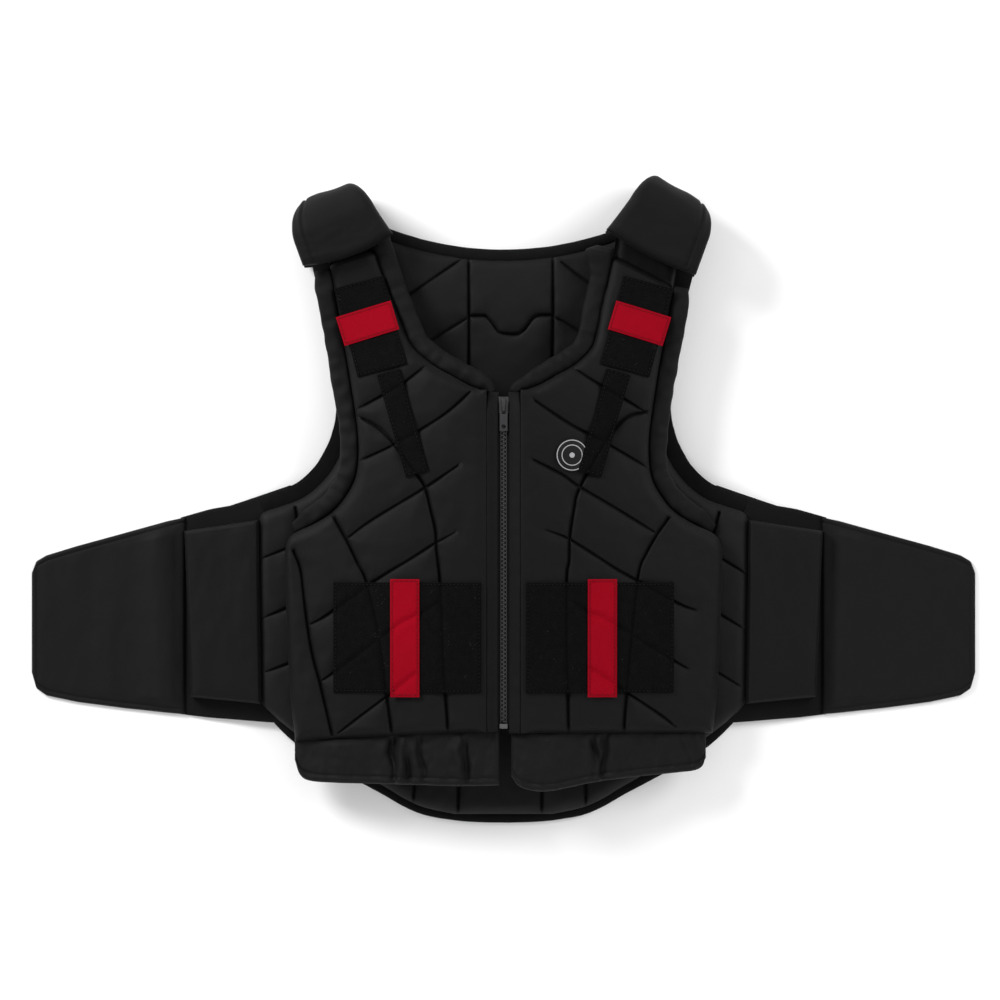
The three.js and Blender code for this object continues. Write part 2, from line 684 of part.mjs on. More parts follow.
// A leaf that folds over the shoulder: level over the front panel, round the fold, level under the
// back panel. Its own frame has y along the shoulder, outwards from the cap's front edge.
function folded({ leaf, tuck, inside, outside, halfAt, thick, rim, steps, edge }) {
  const middle = (inside.low + inside.high) / 2;
  const radius = (inside.high - inside.low) / 2;
  const turns = 6;
  const route = [];
  const flat = rimmed(leaf - tuck, 1, rim, edge).slice(0, edge.length);
  flat.forEach(({ at, fall }) => route.push({ y: tuck + at, z: inside.high, ny: 0, nz: 1, fall }));
  for (let k = 0; k <= turns; k++) {
    const angle = Math.PI / 2 - (Math.PI * k) / turns;
    const [ny, nz] = [Math.cos(angle), Math.sin(angle)];
    route.push({ y: leaf + radius * ny, z: middle + radius * nz, ny, nz, fall: 0 });
  }
  [...flat].reverse().forEach(({ at, fall }) => route.push({ y: tuck + at, z: inside.low, ny: 0, nz: -1, fall }));
  const sheet = route.map(({ y, z, ny, nz, fall: endFall }) => {
    const { left, right } = halfAt(y);
    return rimmed(right - left, steps, rim, edge).map(({ at, fall }) => {
      const both = 1 - (1 - fall) * (1 - endFall);
      const out = thick * (1 - outside * both);
      return { outer: [left + at, y + out * ny, z + out * nz], inner: [left + at, y, z] };
    });
  });
  return facingOut(slab(sheet));
}

const stackHigh = () => SHOULDER_RISE + 2 * SHOULDER_FOAM + GAP + SHOULDER_SLOT;

function shoulderCap() {
  const narrowing = (y) => smoothstep(y, 0, CAP_LEAF + SHOULDER_RISE);
  return folded({
    leaf: CAP_LEAF,
    tuck: 0,
    inside: { low: CAP_FOAM, high: stackHigh() + STRAP_THICK + 2 * GAP },
    outside: 0.55,
    halfAt: (y) => ({
      left: lerp(-CAP_WIDTH / 2, CAP_WIDTH / 2 - CAP_FOLD_WIDTH, narrowing(y)),
      right: CAP_WIDTH / 2,
    }),
    thick: CAP_FOAM,
    edge: ROUND_EDGE,
    rim: 9,
    steps: 2,
  });
}

function shoulderStrap() {
  return folded({
    leaf: CAP_LEAF,
    tuck: STRAP_TUCK,
    inside: { low: CAP_FOAM + GAP + STRAP_THICK, high: stackHigh() + GAP },
    outside: 0.2,
    halfAt: () => ({ left: -STRAP_WIDTH / 2, right: STRAP_WIDTH / 2 }),
    thick: STRAP_THICK,
    edge: THIN_EDGE,
    rim: 2,
    steps: 1,
  });
}

// A tape lying on the front panels, drawn round its middle, that leans outwards at its upper end.
function tapeOn({ width, height, x, y, lean, facet }, thick, above) {
  const middle = plan(x, alongBack(y));
  const turned = (u, v) => plan(u, v).rotateAround(plan(0, 0), -degToRad(lean)).add(middle);
  const up = Math.ceil(height / facet);
  const rows = Array.from({ length: up + 1 }, (_, k) => {
    const v = lerp(-height / 2, height / 2, k / up);
    return { a: turned(-width / 2, v), b: turned(width / 2, v) };
  });
  const base = (px, py) => frontTop(px, py) + above;
  return padded({
    rows,
    steps: Math.ceil(width / facet),
    top: (px, py) => base(px, py) + thick,
    bottom: base,
    edge: CUT_EDGE,
    rim: 0,
  });
}

// A round badge, partly covered by the narrow tape.
function badge() {
  const middle = plan(BADGE.x, alongBack(BADGE.y));
  const sides = 24;
  const disc = new THREE.CylinderGeometry(BADGE.radius, BADGE.radius, BADGE.thick, sides).rotateX(Math.PI / 2);
  const at = disc.getAttribute("position");
  for (let k = 0; k < at.count; k++) {
    const x = at.getX(k) + middle.x;
    const y = at.getY(k) + middle.y;
    at.setXYZ(k, x, y, frontTop(x, y) + TAPE_GAP + BADGE.thick / 2 + at.getZ(k));
  }
  const covered = { ...NARROW_TAPE, width: NARROW_TAPE.width + 2 * GAP };
  return cut(disc, [tapeOn(covered, 2 * BADGE.thick + TAPE_GAP, 0)]);
}

// The zip lies along the top of the arch, between the edges of the panels beside it.
const zipTopY = () => alongBack(ZIP_TOP);
const zipBottomY = () => zipTopY() - ZIP_LENGTH;
const zipLevel = (x, y) => frontTop(0, y) - ZIP_SINK;

function zipRun(from, to) {
  return stepped([plan(0, from), plan(0, to)], 40);
}

function placket() {
  const section = [
    { off: PLACKET_IN, height: 1.2 },
    { off: PLACKET_IN, height: 0.6 * PLACKET_THICK },
    { off: PLACKET_IN + 1.6, height: 0.82 * PLACKET_THICK },
    { off: ZIP_EDGE - GAP, height: 0.82 * PLACKET_THICK },
    { off: ZIP_EDGE - GAP, height: 1.2 },
  ];
  const low = alongBack(FRONT_ROWS[0].y);
  return swept(zipRun(low, zipTopY() + 4), section, zipLevel);
}

function zipTape() {
  const inner = CHAIN_WIDTH / 2 + GAP;
  const section = [
    { off: inner, height: -ZIP_TAPE_THICK / 2 },
    { off: inner, height: ZIP_TAPE_THICK / 2 },
    { off: ZIP_EDGE - GAP, height: ZIP_TAPE_THICK / 2 },
    { off: ZIP_EDGE - GAP, height: -ZIP_TAPE_THICK / 2 },
  ];
  return swept(zipRun(zipBottomY() - 3, zipTopY() - SLIDER.length - 1), section, zipLevel);
}

// One row of teeth on its cord: a comb whose teeth stand between those of the other row.
function zipTeeth(side) {
  const spine = CHAIN_WIDTH / 2;
  const root = TOOTH_REACH / 2 + TOOTH_GAP;
  const tip = -TOOTH_REACH / 2;
  const start = zipBottomY() + STOP.length;
  const count = Math.floor((zipTopY() - SLIDER.length - start) / TOOTH_PITCH) - 1;
  const shift = side === "left" ? 0 : TOOTH_PITCH / 2;
  const comb = [plan(spine, start + (count + 1) * TOOTH_PITCH), plan(spine, start), plan(root, start)];
  if (shift > 0) comb.push(plan(root, start + shift));
  for (let k = 0; k < count; k++) {
    const y = start + shift + k * TOOTH_PITCH;
    comb.push(plan(tip, y + TOOTH_PITCH / 2), plan(root, y + TOOTH_PITCH));
  }
  const row = new THREE.ExtrudeGeometry(new THREE.Shape(comb), { depth: CHAIN_THICK, bevelEnabled: false });
  const at = row.getAttribute("position");
  for (let k = 0; k < at.count; k++) {
    at.setZ(k, zipLevel(0, at.getY(k)) - CHAIN_THICK / 2 + at.getZ(k));
  }
  return geometryFrom(solidOf(row));
}

const sliderMiddle = () => zipTopY() - SLIDER.length / 2;
const sliderLevel = () => zipLevel(0, sliderMiddle());
const plateAt = () => CHAIN_THICK / 2 + GAP + SLIDER.plate / 2;
const bridgeBase = () => plateAt() + SLIDER.plate / 2;
const pinHeight = () => bridgeBase() + PULL.play + PULL.pin / 2;

// Two plates joined by a wedge at the upper end, with a bridge for the pull along the top.
function zipSlider() {
  const { width, length, plate, wedge } = SLIDER;
  const top = bridgeBase() + BRIDGE.height;
  const foot = (y) => block(BRIDGE.width, BRIDGE.bar, BRIDGE.height + 0.2, 0, y, top - (BRIDGE.height + 0.2) / 2);
  const far = (BRIDGE.length - BRIDGE.bar) / 2;
  return joined([
    block(width, length, plate, 0, 0, plateAt()),
    block(width, length, plate, 0, 0, -plateAt()),
    block(0.5 * width, wedge, 2 * plateAt(), 0, (length - wedge) / 2, 0),
    foot(far),
    foot(-far),
    block(BRIDGE.width, BRIDGE.length, BRIDGE.bar, 0, 0, top - BRIDGE.bar / 2),
  ]);
}

// The pull: a pin under the bridge, an arm at each side of it, and a plate with a round hole.
function zipPull() {
  const { width, length, thick, pin, hole, reach } = PULL;
  const plateLength = length - reach;
  const arm = (width - BRIDGE.width) / 2 - PULL.play;
  const armAt = (width - arm) / 2;
  const arms = [-armAt, armAt].map((x) => block(arm, reach + pin / 2 + 0.4, thick, x, -(reach - pin / 2 + 0.4) / 2, 0));
  const plate = block(width, plateLength, thick, 0, -reach - plateLength / 2, 0);
  const bore = new THREE.CylinderGeometry(hole / 2, hole / 2, 3 * thick, 14);
  bore.rotateX(Math.PI / 2).translate(0, -length + hole, 0);
  return cut(joined([block(width, pin, pin, 0, 0, 0), ...arms, plate]), [bore]);
}

function zipStop() {
  const seat = zipLevel(0, zipBottomY()) + ZIP_TAPE_THICK / 2 + GAP;
  return block(STOP.width, STOP.length - GAP, STOP.thick, 0, zipBottomY() + STOP.length / 2, seat + STOP.thick / 2);
}

const cloth = (color, roughness = 0.85) => new THREE.MeshStandardMaterial({ color, roughness, metalness: 0 });
const MATERIALS = {
  shell: cloth(0x202021),
  trim: cloth(0x141414, 0.95),
  loop: cloth(0x0f0f0f, 1),
  marker: cloth(0xa8061f, 0.6),
  badge: cloth(0x2c2c2d, 0.7),
  teeth: new THREE.MeshStandardMaterial({ color: 0x48484a, roughness: 0.45, metalness: 0 }),
  metal: new THREE.MeshStandardMaterial({ color: 0x5c5c5e, roughness: 0.35, metalness: 0.9 }),
};

const protector = new THREE.Group();
const body = new THREE.Group();
protector.add(body);

function place(name, material, geometry, parent = body) {
  const mesh = new THREE.Mesh(geometry, MATERIALS[material]);
  mesh.name = name;
  parent.add(mesh);
  return mesh;
}

// The same piece for both sides: modelled on the wearer's left and mirrored to the right.
function placePair(name, material, geometry) {
  place(`${name}_left`, material, geometry);
  place(`${name}_right`, material, mirrored(geometry));
}

place("back_panel", "shell", backPanel());
place("back_neck_binding", "trim", neckBinding());
place("tail_binding", "trim", tailBinding());
placePair("armhole_border", "trim", armholeBorder());
placePair("wing_panel", "trim", wingPanel());
placePair("wing_pad", "shell", wingPad());
placePair("wing_flap", "shell", wingFlap());

for (const side of ["left", "right"]) {
  const onSide = side === "left" ? (geometry) => geometry : mirrored;
  place(`front_panel_${side}`, "shell", onSide(frontPanel(side)));
  place(`hem_flap_${side}`, "shell", onSide(hemFlap(side)));
  place(`zip_teeth_${side}`, "teeth", onSide(zipTeeth(side)));
}
placePair("neck_band", "shell", neckBand());
placePair("armhole_band", "shell", armholeBand());
placePair("chest_loop_tape", "loop", tapeOn(CHEST_TAPE, LOOP_TAPE, TAPE_GAP));
placePair("chest_marker", "marker", tapeOn(CHEST_MARK, RIBBON, LOOP_TAPE + 2 * TAPE_GAP));
placePair("shoulder_loop_tape", "loop", tapeOn(SHOULDER_TAPE, LOOP_TAPE, TAPE_GAP));
placePair("shoulder_marker", "marker", tapeOn(SHOULDER_MARK, RIBBON, LOOP_TAPE + 2 * TAPE_GAP));
placePair("narrow_tape", "loop", tapeOn(NARROW_TAPE, LOOP_TAPE, TAPE_GAP));
place("badge", "badge", badge());
placePair("zip_placket", "shell", placket());
placePair("zip_tape", "trim", zipTape());
place("zip_stop", "teeth", zipStop());

for (const [side, turn] of [["left", -1], ["right", 1]]) {
  const shoulder = new THREE.Group();
  shoulder.position.set(-turn * SHOULDER_X, alongBack(SHOULDER_Y), 0);
  shoulder.rotation.z = turn * degToRad(SHOULDER_TILT);
  body.add(shoulder);
  const onSide = side === "left" ? (geometry) => geometry : mirrored;
  place(`shoulder_cap_${side}`, "shell", onSide(shoulderCap()), shoulder);
  place(`shoulder_strap_${side}`, "trim", onSide(shoulderStrap()), shoulder);
}

const zip = new THREE.Group();
zip.position.set(0, sliderMiddle(), sliderLevel());
body.add(zip);
place("zip_slider", "metal", zipSlider(), zip);
place("zip_pull", "metal", zipPull(), zip).position.z = pinHeight();

// The footprint's middle becomes the origin, and the lowest point lies on the surface.
body.updateMatrixWorld(true);
const extent = new THREE.Box3().setFromObject(body, true);
const middle = extent.getCenter(new THREE.Vector3());
body.position.set(-middle.x, -middle.y, -extent.min.z);

export default protector;
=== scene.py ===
import math

import bmesh
import bpy
import numpy as np
from mathutils import Matrix, Vector, geometry, noise


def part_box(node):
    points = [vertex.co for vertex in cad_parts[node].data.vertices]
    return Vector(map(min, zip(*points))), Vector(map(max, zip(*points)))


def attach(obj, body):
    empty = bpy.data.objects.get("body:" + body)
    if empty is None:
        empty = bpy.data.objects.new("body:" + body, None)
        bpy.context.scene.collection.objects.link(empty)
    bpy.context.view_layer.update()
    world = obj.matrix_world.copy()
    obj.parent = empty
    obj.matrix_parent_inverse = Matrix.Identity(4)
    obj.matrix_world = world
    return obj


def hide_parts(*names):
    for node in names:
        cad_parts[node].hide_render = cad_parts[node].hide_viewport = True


# Riding body protector, laid open on its back and seen from straight above. Metres throughout.
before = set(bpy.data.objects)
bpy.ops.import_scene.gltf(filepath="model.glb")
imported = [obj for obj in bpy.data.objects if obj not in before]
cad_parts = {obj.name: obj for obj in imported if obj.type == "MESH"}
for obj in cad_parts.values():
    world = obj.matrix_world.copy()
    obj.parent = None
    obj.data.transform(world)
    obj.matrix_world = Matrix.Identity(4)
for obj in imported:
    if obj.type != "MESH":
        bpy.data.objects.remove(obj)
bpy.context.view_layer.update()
bpy.ops.object.select_all(action="DESELECT")
print("frame loaded")

mm = 0.001

# What the pieces share with the frame.
body = {
    "length": 0.532,  # tail to back neck, which the shares along the body are of
    "tailShare": 0.012,
    "foam": 20 * mm,
    "shoulderFoam": 11 * mm,
    "shoulderRise": 18.1 * mm,
    "shoulderFrom": 0.76,
    "shoulderTo": 0.955,
    "hemAt": 0.15,
    "chestAt": 0.55,
    "hemArch": 27 * mm,
    "chestArch": 40 * mm,
    "slot": 8 * mm,
    "gap": 0.3 * mm,
    "rim": 10 * mm,
    "zipEdge": 17.6 * mm,
    "zipSewn": 15.6 * mm,  # where the cloth beside the zip is sewn on
}
body["backHalf"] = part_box("back_panel")[1][0]
body["frontHalf"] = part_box("front_panel_left")[1][0]
body["tailY"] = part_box("back_panel")[0][1] - body["tailShare"] * body["length"]


def alongY(share):
    return body["tailY"] + np.asarray(share, float) * body["length"]


def smoothstep(value, low, high):
    t = np.clip((np.asarray(value, float) - low) / (high - low), 0, 1)
    return t * t * (3 - 2 * t)


def shoulderShare(y):
    return smoothstep(y, alongY(body["shoulderFrom"]), alongY(body["shoulderTo"]))


def foamAt(y):
    return body["foam"] + (body["shoulderFoam"] - body["foam"]) * shoulderShare(y)


def backFloor(x, y):
    return body["shoulderRise"] * shoulderShare(y)


def backTop(x, y):
    return backFloor(x, y) + foamAt(y)


def frontFloor(x, y):
    rise = smoothstep(y, alongY(body["hemAt"]), alongY(body["chestAt"]))
    arch = body["hemArch"] + (body["chestArch"] - body["hemArch"]) * rise
    across = np.clip(np.abs(x) / (body["frontHalf"] - body["rim"]), 0, 1)
    bow = arch * np.cos(0.5 * math.pi * across)
    blend = shoulderShare(y)
    return backTop(x, y) + body["gap"] + bow * (1 - blend) + body["slot"] * blend


def frontTop(x, y):
    return frontFloor(x, y) + foamAt(y)


# Meshes from grids and sections.
def noiseAt(x, y, size, seed=0.0, z=0.0):
    flatX, flatY = np.ravel(x) / size, np.ravel(y) / size
    flatZ = np.broadcast_to(np.ravel(z), flatX.shape) / size + seed
    values = [noise.noise(Vector(p)) for p in zip(flatX, flatY, flatZ)]
    return np.array(values).reshape(np.shape(x))


def makeObject(name, points, faces, uv=None, seam=None):
    mesh = bpy.data.meshes.new(name)
    mesh.from_pydata(np.asarray(points).reshape(-1, 3).tolist(), [], [tuple(f) for f in faces])
    if uv is not None:
        layer = mesh.uv_layers.new(name="UVMap")
        loops = np.zeros(len(mesh.loops), dtype=np.int32)
        mesh.loops.foreach_get("vertex_index", loops)
        layer.data.foreach_set("uv", np.asarray(uv, float).reshape(-1, 2)[loops].ravel())
    # The seam attribute is the distance to the nearest line of painted shade: sewn lines and grooves, fold valleys,
    # and gaps under or beside other parts.
    if seam is not None:
        values = mesh.attributes.new("seam", "FLOAT", "POINT")
        values.data.foreach_set("value", np.asarray(seam, np.float32).ravel())
    mesh.polygons.foreach_set("use_smooth", [True] * len(mesh.polygons))
    obj = bpy.data.objects.new(name, mesh)
    bpy.context.scene.collection.objects.link(obj)
    return obj


def faceOut(obj):
    shape = bmesh.new()
    shape.from_mesh(obj.data)
    if shape.calc_volume(signed=True) < 0:
        bmesh.ops.reverse_faces(shape, faces=shape.faces)
    shape.to_mesh(obj.data)
    shape.free()
    return obj


# A closed skin between two grids of points, top and bottom, of the same rows and columns.
def shell(name, top, bottom, uv=None, seam=None):
    rows, columns = top.shape[:2]
    upper = np.arange(rows * columns).reshape(rows, columns)
    lower = upper + rows * columns

    def quads(a, b, c, d):
        return np.stack([np.ravel(a), np.ravel(b), np.ravel(c), np.ravel(d)], axis=1)

    faces = [
        quads(upper[:-1, :-1], upper[:-1, 1:], upper[1:, 1:], upper[1:, :-1]),
        quads(lower[:-1, :-1], lower[1:, :-1], lower[1:, 1:], lower[:-1, 1:]),
        quads(upper[:-1, 0], upper[1:, 0], lower[1:, 0], lower[:-1, 0]),
        quads(upper[1:, -1], upper[:-1, -1], lower[:-1, -1], lower[1:, -1]),
        quads(upper[0, 1:], upper[0, :-1], lower[0, :-1], lower[0, 1:]),
        quads(upper[-1, :-1], upper[-1, 1:], lower[-1, 1:], lower[-1, :-1]),
    ]
    points = np.concatenate([top.reshape(-1, 3), bottom.reshape(-1, 3)])
    both = None if uv is None else np.concatenate([uv.reshape(-1, 2)] * 2)
    marks = None if seam is None else np.concatenate([seam.ravel()] * 2)
    return faceOut(makeObject(name, points, np.concatenate(faces).tolist(), both, marks))


# A thin piece over a grid of places, from its upper and lower heights.
def layer(name, x, y, top, under, seam, uv=None):
    upper, lower = np.stack([x, y, top], -1), np.stack([x, y, under], -1)
    return shell(name, upper, lower, np.stack(uv or (x, y), -1), seam)


# The closed outline of a grid of places.
def gridEdge(x, y):
    edge = np.vstack([
        np.column_stack([x[0], y[0]]), np.column_stack([x[1:, -1], y[1:, -1]]),
        np.column_stack([x[-1, -2::-1], y[-1, -2::-1]]), np.column_stack([x[-2::-1, 0], y[-2::-1, 0]]),
    ])
    return np.vstack([edge, edge[:1]])


# A curve through the points, with a point about every step.
def smoothCurve(points, step):
    p = np.asarray(points, float)
    ends = np.vstack([2 * p[0] - p[1], p, 2 * p[-1] - p[-2]])
    out = []
    for i in range(1, len(ends) - 2):
        a, b, c, d = ends[i - 1], ends[i], ends[i + 1], ends[i + 2]
        count = max(1, int(np.linalg.norm(c - b) / step))
        t = (np.arange(count) / count)[:, None]
        out.append(b + 0.5 * t * (c - a + t * (2 * a - 5 * b + 4 * c - d + t * (3 * (b - c) + d - a))))
    out.append(p[-1:])
    return np.vstack(out)


def resample(line, step):
    lengths = np.concatenate([[0], np.cumsum(np.linalg.norm(np.diff(line, axis=0), axis=1))])
    count = max(2, int(lengths[-1] / step))
    at = np.linspace(0, lengths[-1], count)
    return np.column_stack([np.interp(at, lengths, line[:, k]) for k in range(2)]), at


# Distance from each point to the nearest of the lines.
def distanceTo(x, y, lines):
    px, py = np.ravel(x), np.ravel(y)
    best = np.full(px.shape, 1.0)
    for line in lines:
        for (ax, ay), (bx, by) in zip(line[:-1], line[1:]):
            dx, dy = bx - ax, by - ay
            size = dx * dx + dy * dy
            if size < 1e-14:
                continue
            t = np.clip(((px - ax) * dx + (py - ay) * dy) / size, 0, 1)
            best = np.minimum(best, np.hypot(px - ax - t * dx, py - ay - t * dy))
    return best.reshape(np.shape(x))


# Steps from 0 to 1 that are closer together at both ends.
def eased(count, share=0.55):
    u = np.linspace(0, 1, count)
    return u - share * np.sin(2 * math.pi * u) / (2 * math.pi)


def roundFall(distance, rim):
    return 1 - np.sqrt(np.clip(1 - (1 - np.clip(distance / rim, 0, 1)) ** 2, 0, 1))


def rideAndName(obj, node, material):
    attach(obj, "vest")
    if node:
        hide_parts(node)
    obj.data.materials.append(material)
    return obj


# Shader groups, each built once.
def newGroup(name, inputs, outputs):
    group = bpy.data.node_groups.new(name, "ShaderNodeTree")
    for title, kind, value in inputs:
        socket = group.interface.new_socket(title, in_out="INPUT", socket_type=kind)
        if value is not None:
            socket.default_value = value
    for title, kind in outputs:
        group.interface.new_socket(title, in_out="OUTPUT", socket_type=kind)
    return group, group.nodes.new("NodeGroupInput"), group.nodes.new("NodeGroupOutput")


# Capitalised names are the node's inputs, and the others are its settings.
def addNode(tree, kind, **values):
    node = tree.nodes.new(kind)
    for key, value in values.items():
        if key[0].isupper():
            node.inputs[key].default_value = value
        else:
            setattr(node, key, value)
    return node


def addMath(tree, operation, first, second=None, clamp=False):
    node = tree.nodes.new("ShaderNodeMath")
    node.operation = operation
    node.use_clamp = clamp
    for slot, value in enumerate((first, second)):
        if value is None:
            continue
        if isinstance(value, (int, float)):
            node.inputs[slot].default_value = value
        else:
            tree.links.new(value, node.inputs[slot])
    return node.outputs[0]


# Crossed threads: Height of the cloth's surface.
def weaveGroup():
    group, start, end = newGroup(
        "clothWeave",
        [("Vector", "NodeSocketVector", None), ("Threads", "NodeSocketFloat", 900.0),
         ("Uneven", "NodeSocketFloat", 0.3)],
        [("Height", "NodeSocketFloat")],
    )
    stray = 6.0
    wobble = addNode(group, "ShaderNodeTexNoise", Scale=60.0, Detail=2.0)
    group.links.new(start.outputs["Vector"], wobble.inputs["Vector"])
    split = group.nodes.new("ShaderNodeSeparateXYZ")
    group.links.new(start.outputs["Vector"], split.inputs[0])
    waves = []
    for axis in (0, 1):
        turns = addMath(group, "MULTIPLY", split.outputs[axis], start.outputs["Threads"])
        loose = addMath(group, "MULTIPLY", wobble.outputs[0], start.outputs["Uneven"])
        strayed = addMath(group, "ADD", turns, addMath(group, "MULTIPLY", loose, stray))
        waves.append(addMath(group, "SINE", addMath(group, "MULTIPLY", strayed, 2 * math.pi)))
    woven = addMath(group, "MULTIPLY", waves[0], waves[1])
    group.links.new(addMath(group, "MULTIPLY_ADD", woven, 0.5), end.inputs["Height"])
    return group


# Loops of pile: Height, and a Tone from 0 to 1 that varies over the tape.
def fuzzGroup():
    group, start, end = newGroup(
        "loopFuzz",
        [("Vector", "NodeSocketVector", None), ("Loops", "NodeSocketFloat", 1100.0)],
        [("Height", "NodeSocketFloat"), ("Tone", "NodeSocketFloat")],
    )
    cells = addNode(group, "ShaderNodeTexVoronoi", feature="SMOOTH_F1")
    curls = addNode(group, "ShaderNodeTexNoise", Detail=5.0)
    patches = addNode(group, "ShaderNodeTexNoise", Scale=140.0, Detail=3.0)
    for node in (cells, curls, patches):
        group.links.new(start.outputs["Vector"], node.inputs["Vector"])
    group.links.new(start.outputs["Loops"], cells.inputs["Scale"])
    group.links.new(start.outputs["Loops"], curls.inputs["Scale"])
    curled = addMath(group, "SUBTRACT", curls.outputs[0], cells.outputs["Distance"])
    group.links.new(curled, end.inputs["Height"])
    group.links.new(patches.outputs[0], end.inputs["Tone"])
    return group


# Sparse pale specks of dust and lint, as a Mask.
def lintGroup():
    group, start, end = newGroup(
        "lint",
        [("Vector", "NodeSocketVector", None), ("Amount", "NodeSocketFloat", 0.02)],
        [("Mask", "NodeSocketFloat")],
    )
    grainReach, rareness = 0.16, 0.66
    grains = addNode(group, "ShaderNodeTexVoronoi", Scale=420.0)
    pick = addNode(group, "ShaderNodeTexNoise", Scale=75.0, Detail=1.0)
    for node in (grains, pick):
        group.links.new(start.outputs["Vector"], node.inputs["Vector"])
    near = addMath(group, "LESS_THAN", grains.outputs["Distance"], grainReach)
    chosen = addMath(group, "GREATER_THAN", pick.outputs[0], rareness)
    speck = addMath(group, "MULTIPLY", near, chosen)
    mask = addMath(group, "MULTIPLY", speck, start.outputs["Amount"], clamp=True)
    group.links.new(mask, end.inputs["Mask"])
    return group


# Slow changes of tone over a piece, and painted shade that darkens it along its seams, grooves and creases, as a
# Factor for its colour.
def toneAndShadeGroup():
    group, start, end = newGroup(
        "toneAndShade",
        [("Vector", "NodeSocketVector", None), ("Seam", "NodeSocketFloat", 1.0),
         ("Spread", "NodeSocketFloat", 0.25), ("Dark", "NodeSocketFloat", 0.5),
         ("Width", "NodeSocketFloat", 0.003)],
        [("Factor", "NodeSocketFloat")],
    )
    slow = addNode(group, "ShaderNodeTexNoise", Scale=14.0, Detail=4.0)
    group.links.new(start.outputs["Vector"], slow.inputs["Vector"])
    swing = addMath(group, "SUBTRACT", slow.outputs[0], 0.5)
    swing = addMath(group, "MULTIPLY", swing, start.outputs["Spread"])
    away = addMath(group, "DIVIDE", start.outputs["Seam"], start.outputs["Width"], clamp=True)
    seamShade = addMath(group, "MULTIPLY", addMath(group, "SUBTRACT", 1.0, away), start.outputs["Dark"])
    factor = addMath(group, "SUBTRACT", addMath(group, "ADD", 1.0, swing), seamShade)
    group.links.new(factor, end.inputs["Factor"])
    return group


groups = {"weave": weaveGroup(), "fuzz": fuzzGroup(), "lint": lintGroup(), "toneAndShade": toneAndShadeGroup()}

# Each cloth also sets how strong and how wide its painted shade is along seams, grooves and creases.
finishes = {
    "shellCloth": {
        "color": (0.0034, 0.0034, 0.0036), "rough": 0.56, "sheen": 0.02, "gloss": 0.1, "sheenRough": 0.4,
        "threads": 900.0, "depth": 0.10, "spread": 0.35, "seamShade": 0.85, "seamWidth": 0.0022, "lint": 0.12,
    },
    # The back panel's lining is the shell cloth made lighter: painted light, to make up for the shade the low back
    # panel sits in.
    "litLiningCloth": {
        "color": (0.0062, 0.0062, 0.0065), "rough": 0.56, "sheen": 0.028, "gloss": 0.1, "sheenRough": 0.4,
        "threads": 900.0, "depth": 0.10, "spread": 0.35, "seamShade": 0.85, "seamWidth": 0.0022, "lint": 0.12,
    },
    "bandCloth": {
        "color": (0.0021, 0.0021, 0.0023), "rough": 0.66, "sheen": 0.011, "sheenRough": 0.45,
        "threads": 1100.0, "depth": 0.12, "spread": 0.3, "seamShade": 0.8, "seamWidth": 0.002, "lint": 0.12,
    },
    "flapCloth": {
        "color": (0.0032, 0.0032, 0.0034), "rough": 0.64, "sheen": 0.022, "sheenRough": 0.45,
        "threads": 800.0, "depth": 0.14, "spread": 0.4, "seamShade": 0.8, "seamWidth": 0.002, "lint": 0.15,
    },
    "trimKnit": {
        "color": (0.0013, 0.0013, 0.0014), "rough": 0.85, "sheen": 0.008, "sheenRough": 0.6,
        "threads": 650.0, "depth": 0.25, "spread": 0.3, "seamShade": 0.5, "seamWidth": 0.002, "lint": 0.15,
    },
    "wingMesh": {
        "color": (0.0024, 0.0024, 0.0025), "rough": 0.8, "sheen": 0.008, "sheenRough": 0.6,
        "threads": 420.0, "depth": 0.35, "spread": 0.3, "seamShade": 0.5, "seamWidth": 0.002, "lint": 0.15,
    },
    "ribbon": {
        "color": (0.22, 0.0008, 0.0072), "rough": 0.6, "sheen": 0.0, "gloss": 0.03, "sheenRough": 0.4,
        "threads": 1000.0, "depth": 0.22, "spread": 0.3, "seamShade": 0.35, "seamWidth": 0.0012, "lint": 0.03,
    },
}
threadLook = {
    "color": (0.0035, 0.0035, 0.004), "rough": 0.55, "sheen": 0.02, "sheenRough": 0.4,
    "threads": 2500.0, "depth": 0.1, "spread": 0.2, "seamShade": 0.0, "seamWidth": 0.001, "lint": 0.0,
}
clothShade = {"weave": 0.22, "roughSwing": 0.12, "gloss": 0.12}
pileLook = {
    "color": (0.0022, 0.0022, 0.0023), "rough": 0.95, "sheen": 0.01, "sheenRough": 0.7, "gloss": 0.04,
    "loops": 900.0, "toneSwing": 1.1, "toneLow": 0.35, "height": 0.9, "depth": 0.9,
    "spread": 0.3, "seamShade": 0.75, "seamWidth": 0.0016, "lint": 0.35,
}
badgeLook = {
    "rings": (0.92, 0.62), "ringHalf": 0.028, "dot": 0.16, "rubber": (0.006, 0.006, 0.0065, 1),
    "pale": (0.3, 0.3, 0.31, 1), "rough": 0.5, "gloss": 0.15, "grain": 0.05,
}


def startMaterial(name):
    material = bpy.data.materials.new(name)
    material.use_nodes = True
    tree = material.node_tree
    shader = tree.nodes["Principled BSDF"]
    place = tree.nodes.new("ShaderNodeTexCoord")
    return material, tree, shader, place.outputs["Object"]


def placeGroup(tree, name, vector, **values):
    node = tree.nodes.new("ShaderNodeGroup")
    node.node_tree = groups[name]
    tree.links.new(vector, node.inputs["Vector"])
    for key, value in values.items():
        node.inputs[key].default_value = value
    return node


def addBump(tree, shader, height, distance):
    bump = addNode(tree, "ShaderNodeBump", Strength=1.0, Distance=distance)
    tree.links.new(height, bump.inputs["Height"])
    tree.links.new(bump.outputs[0], shader.inputs["Normal"])


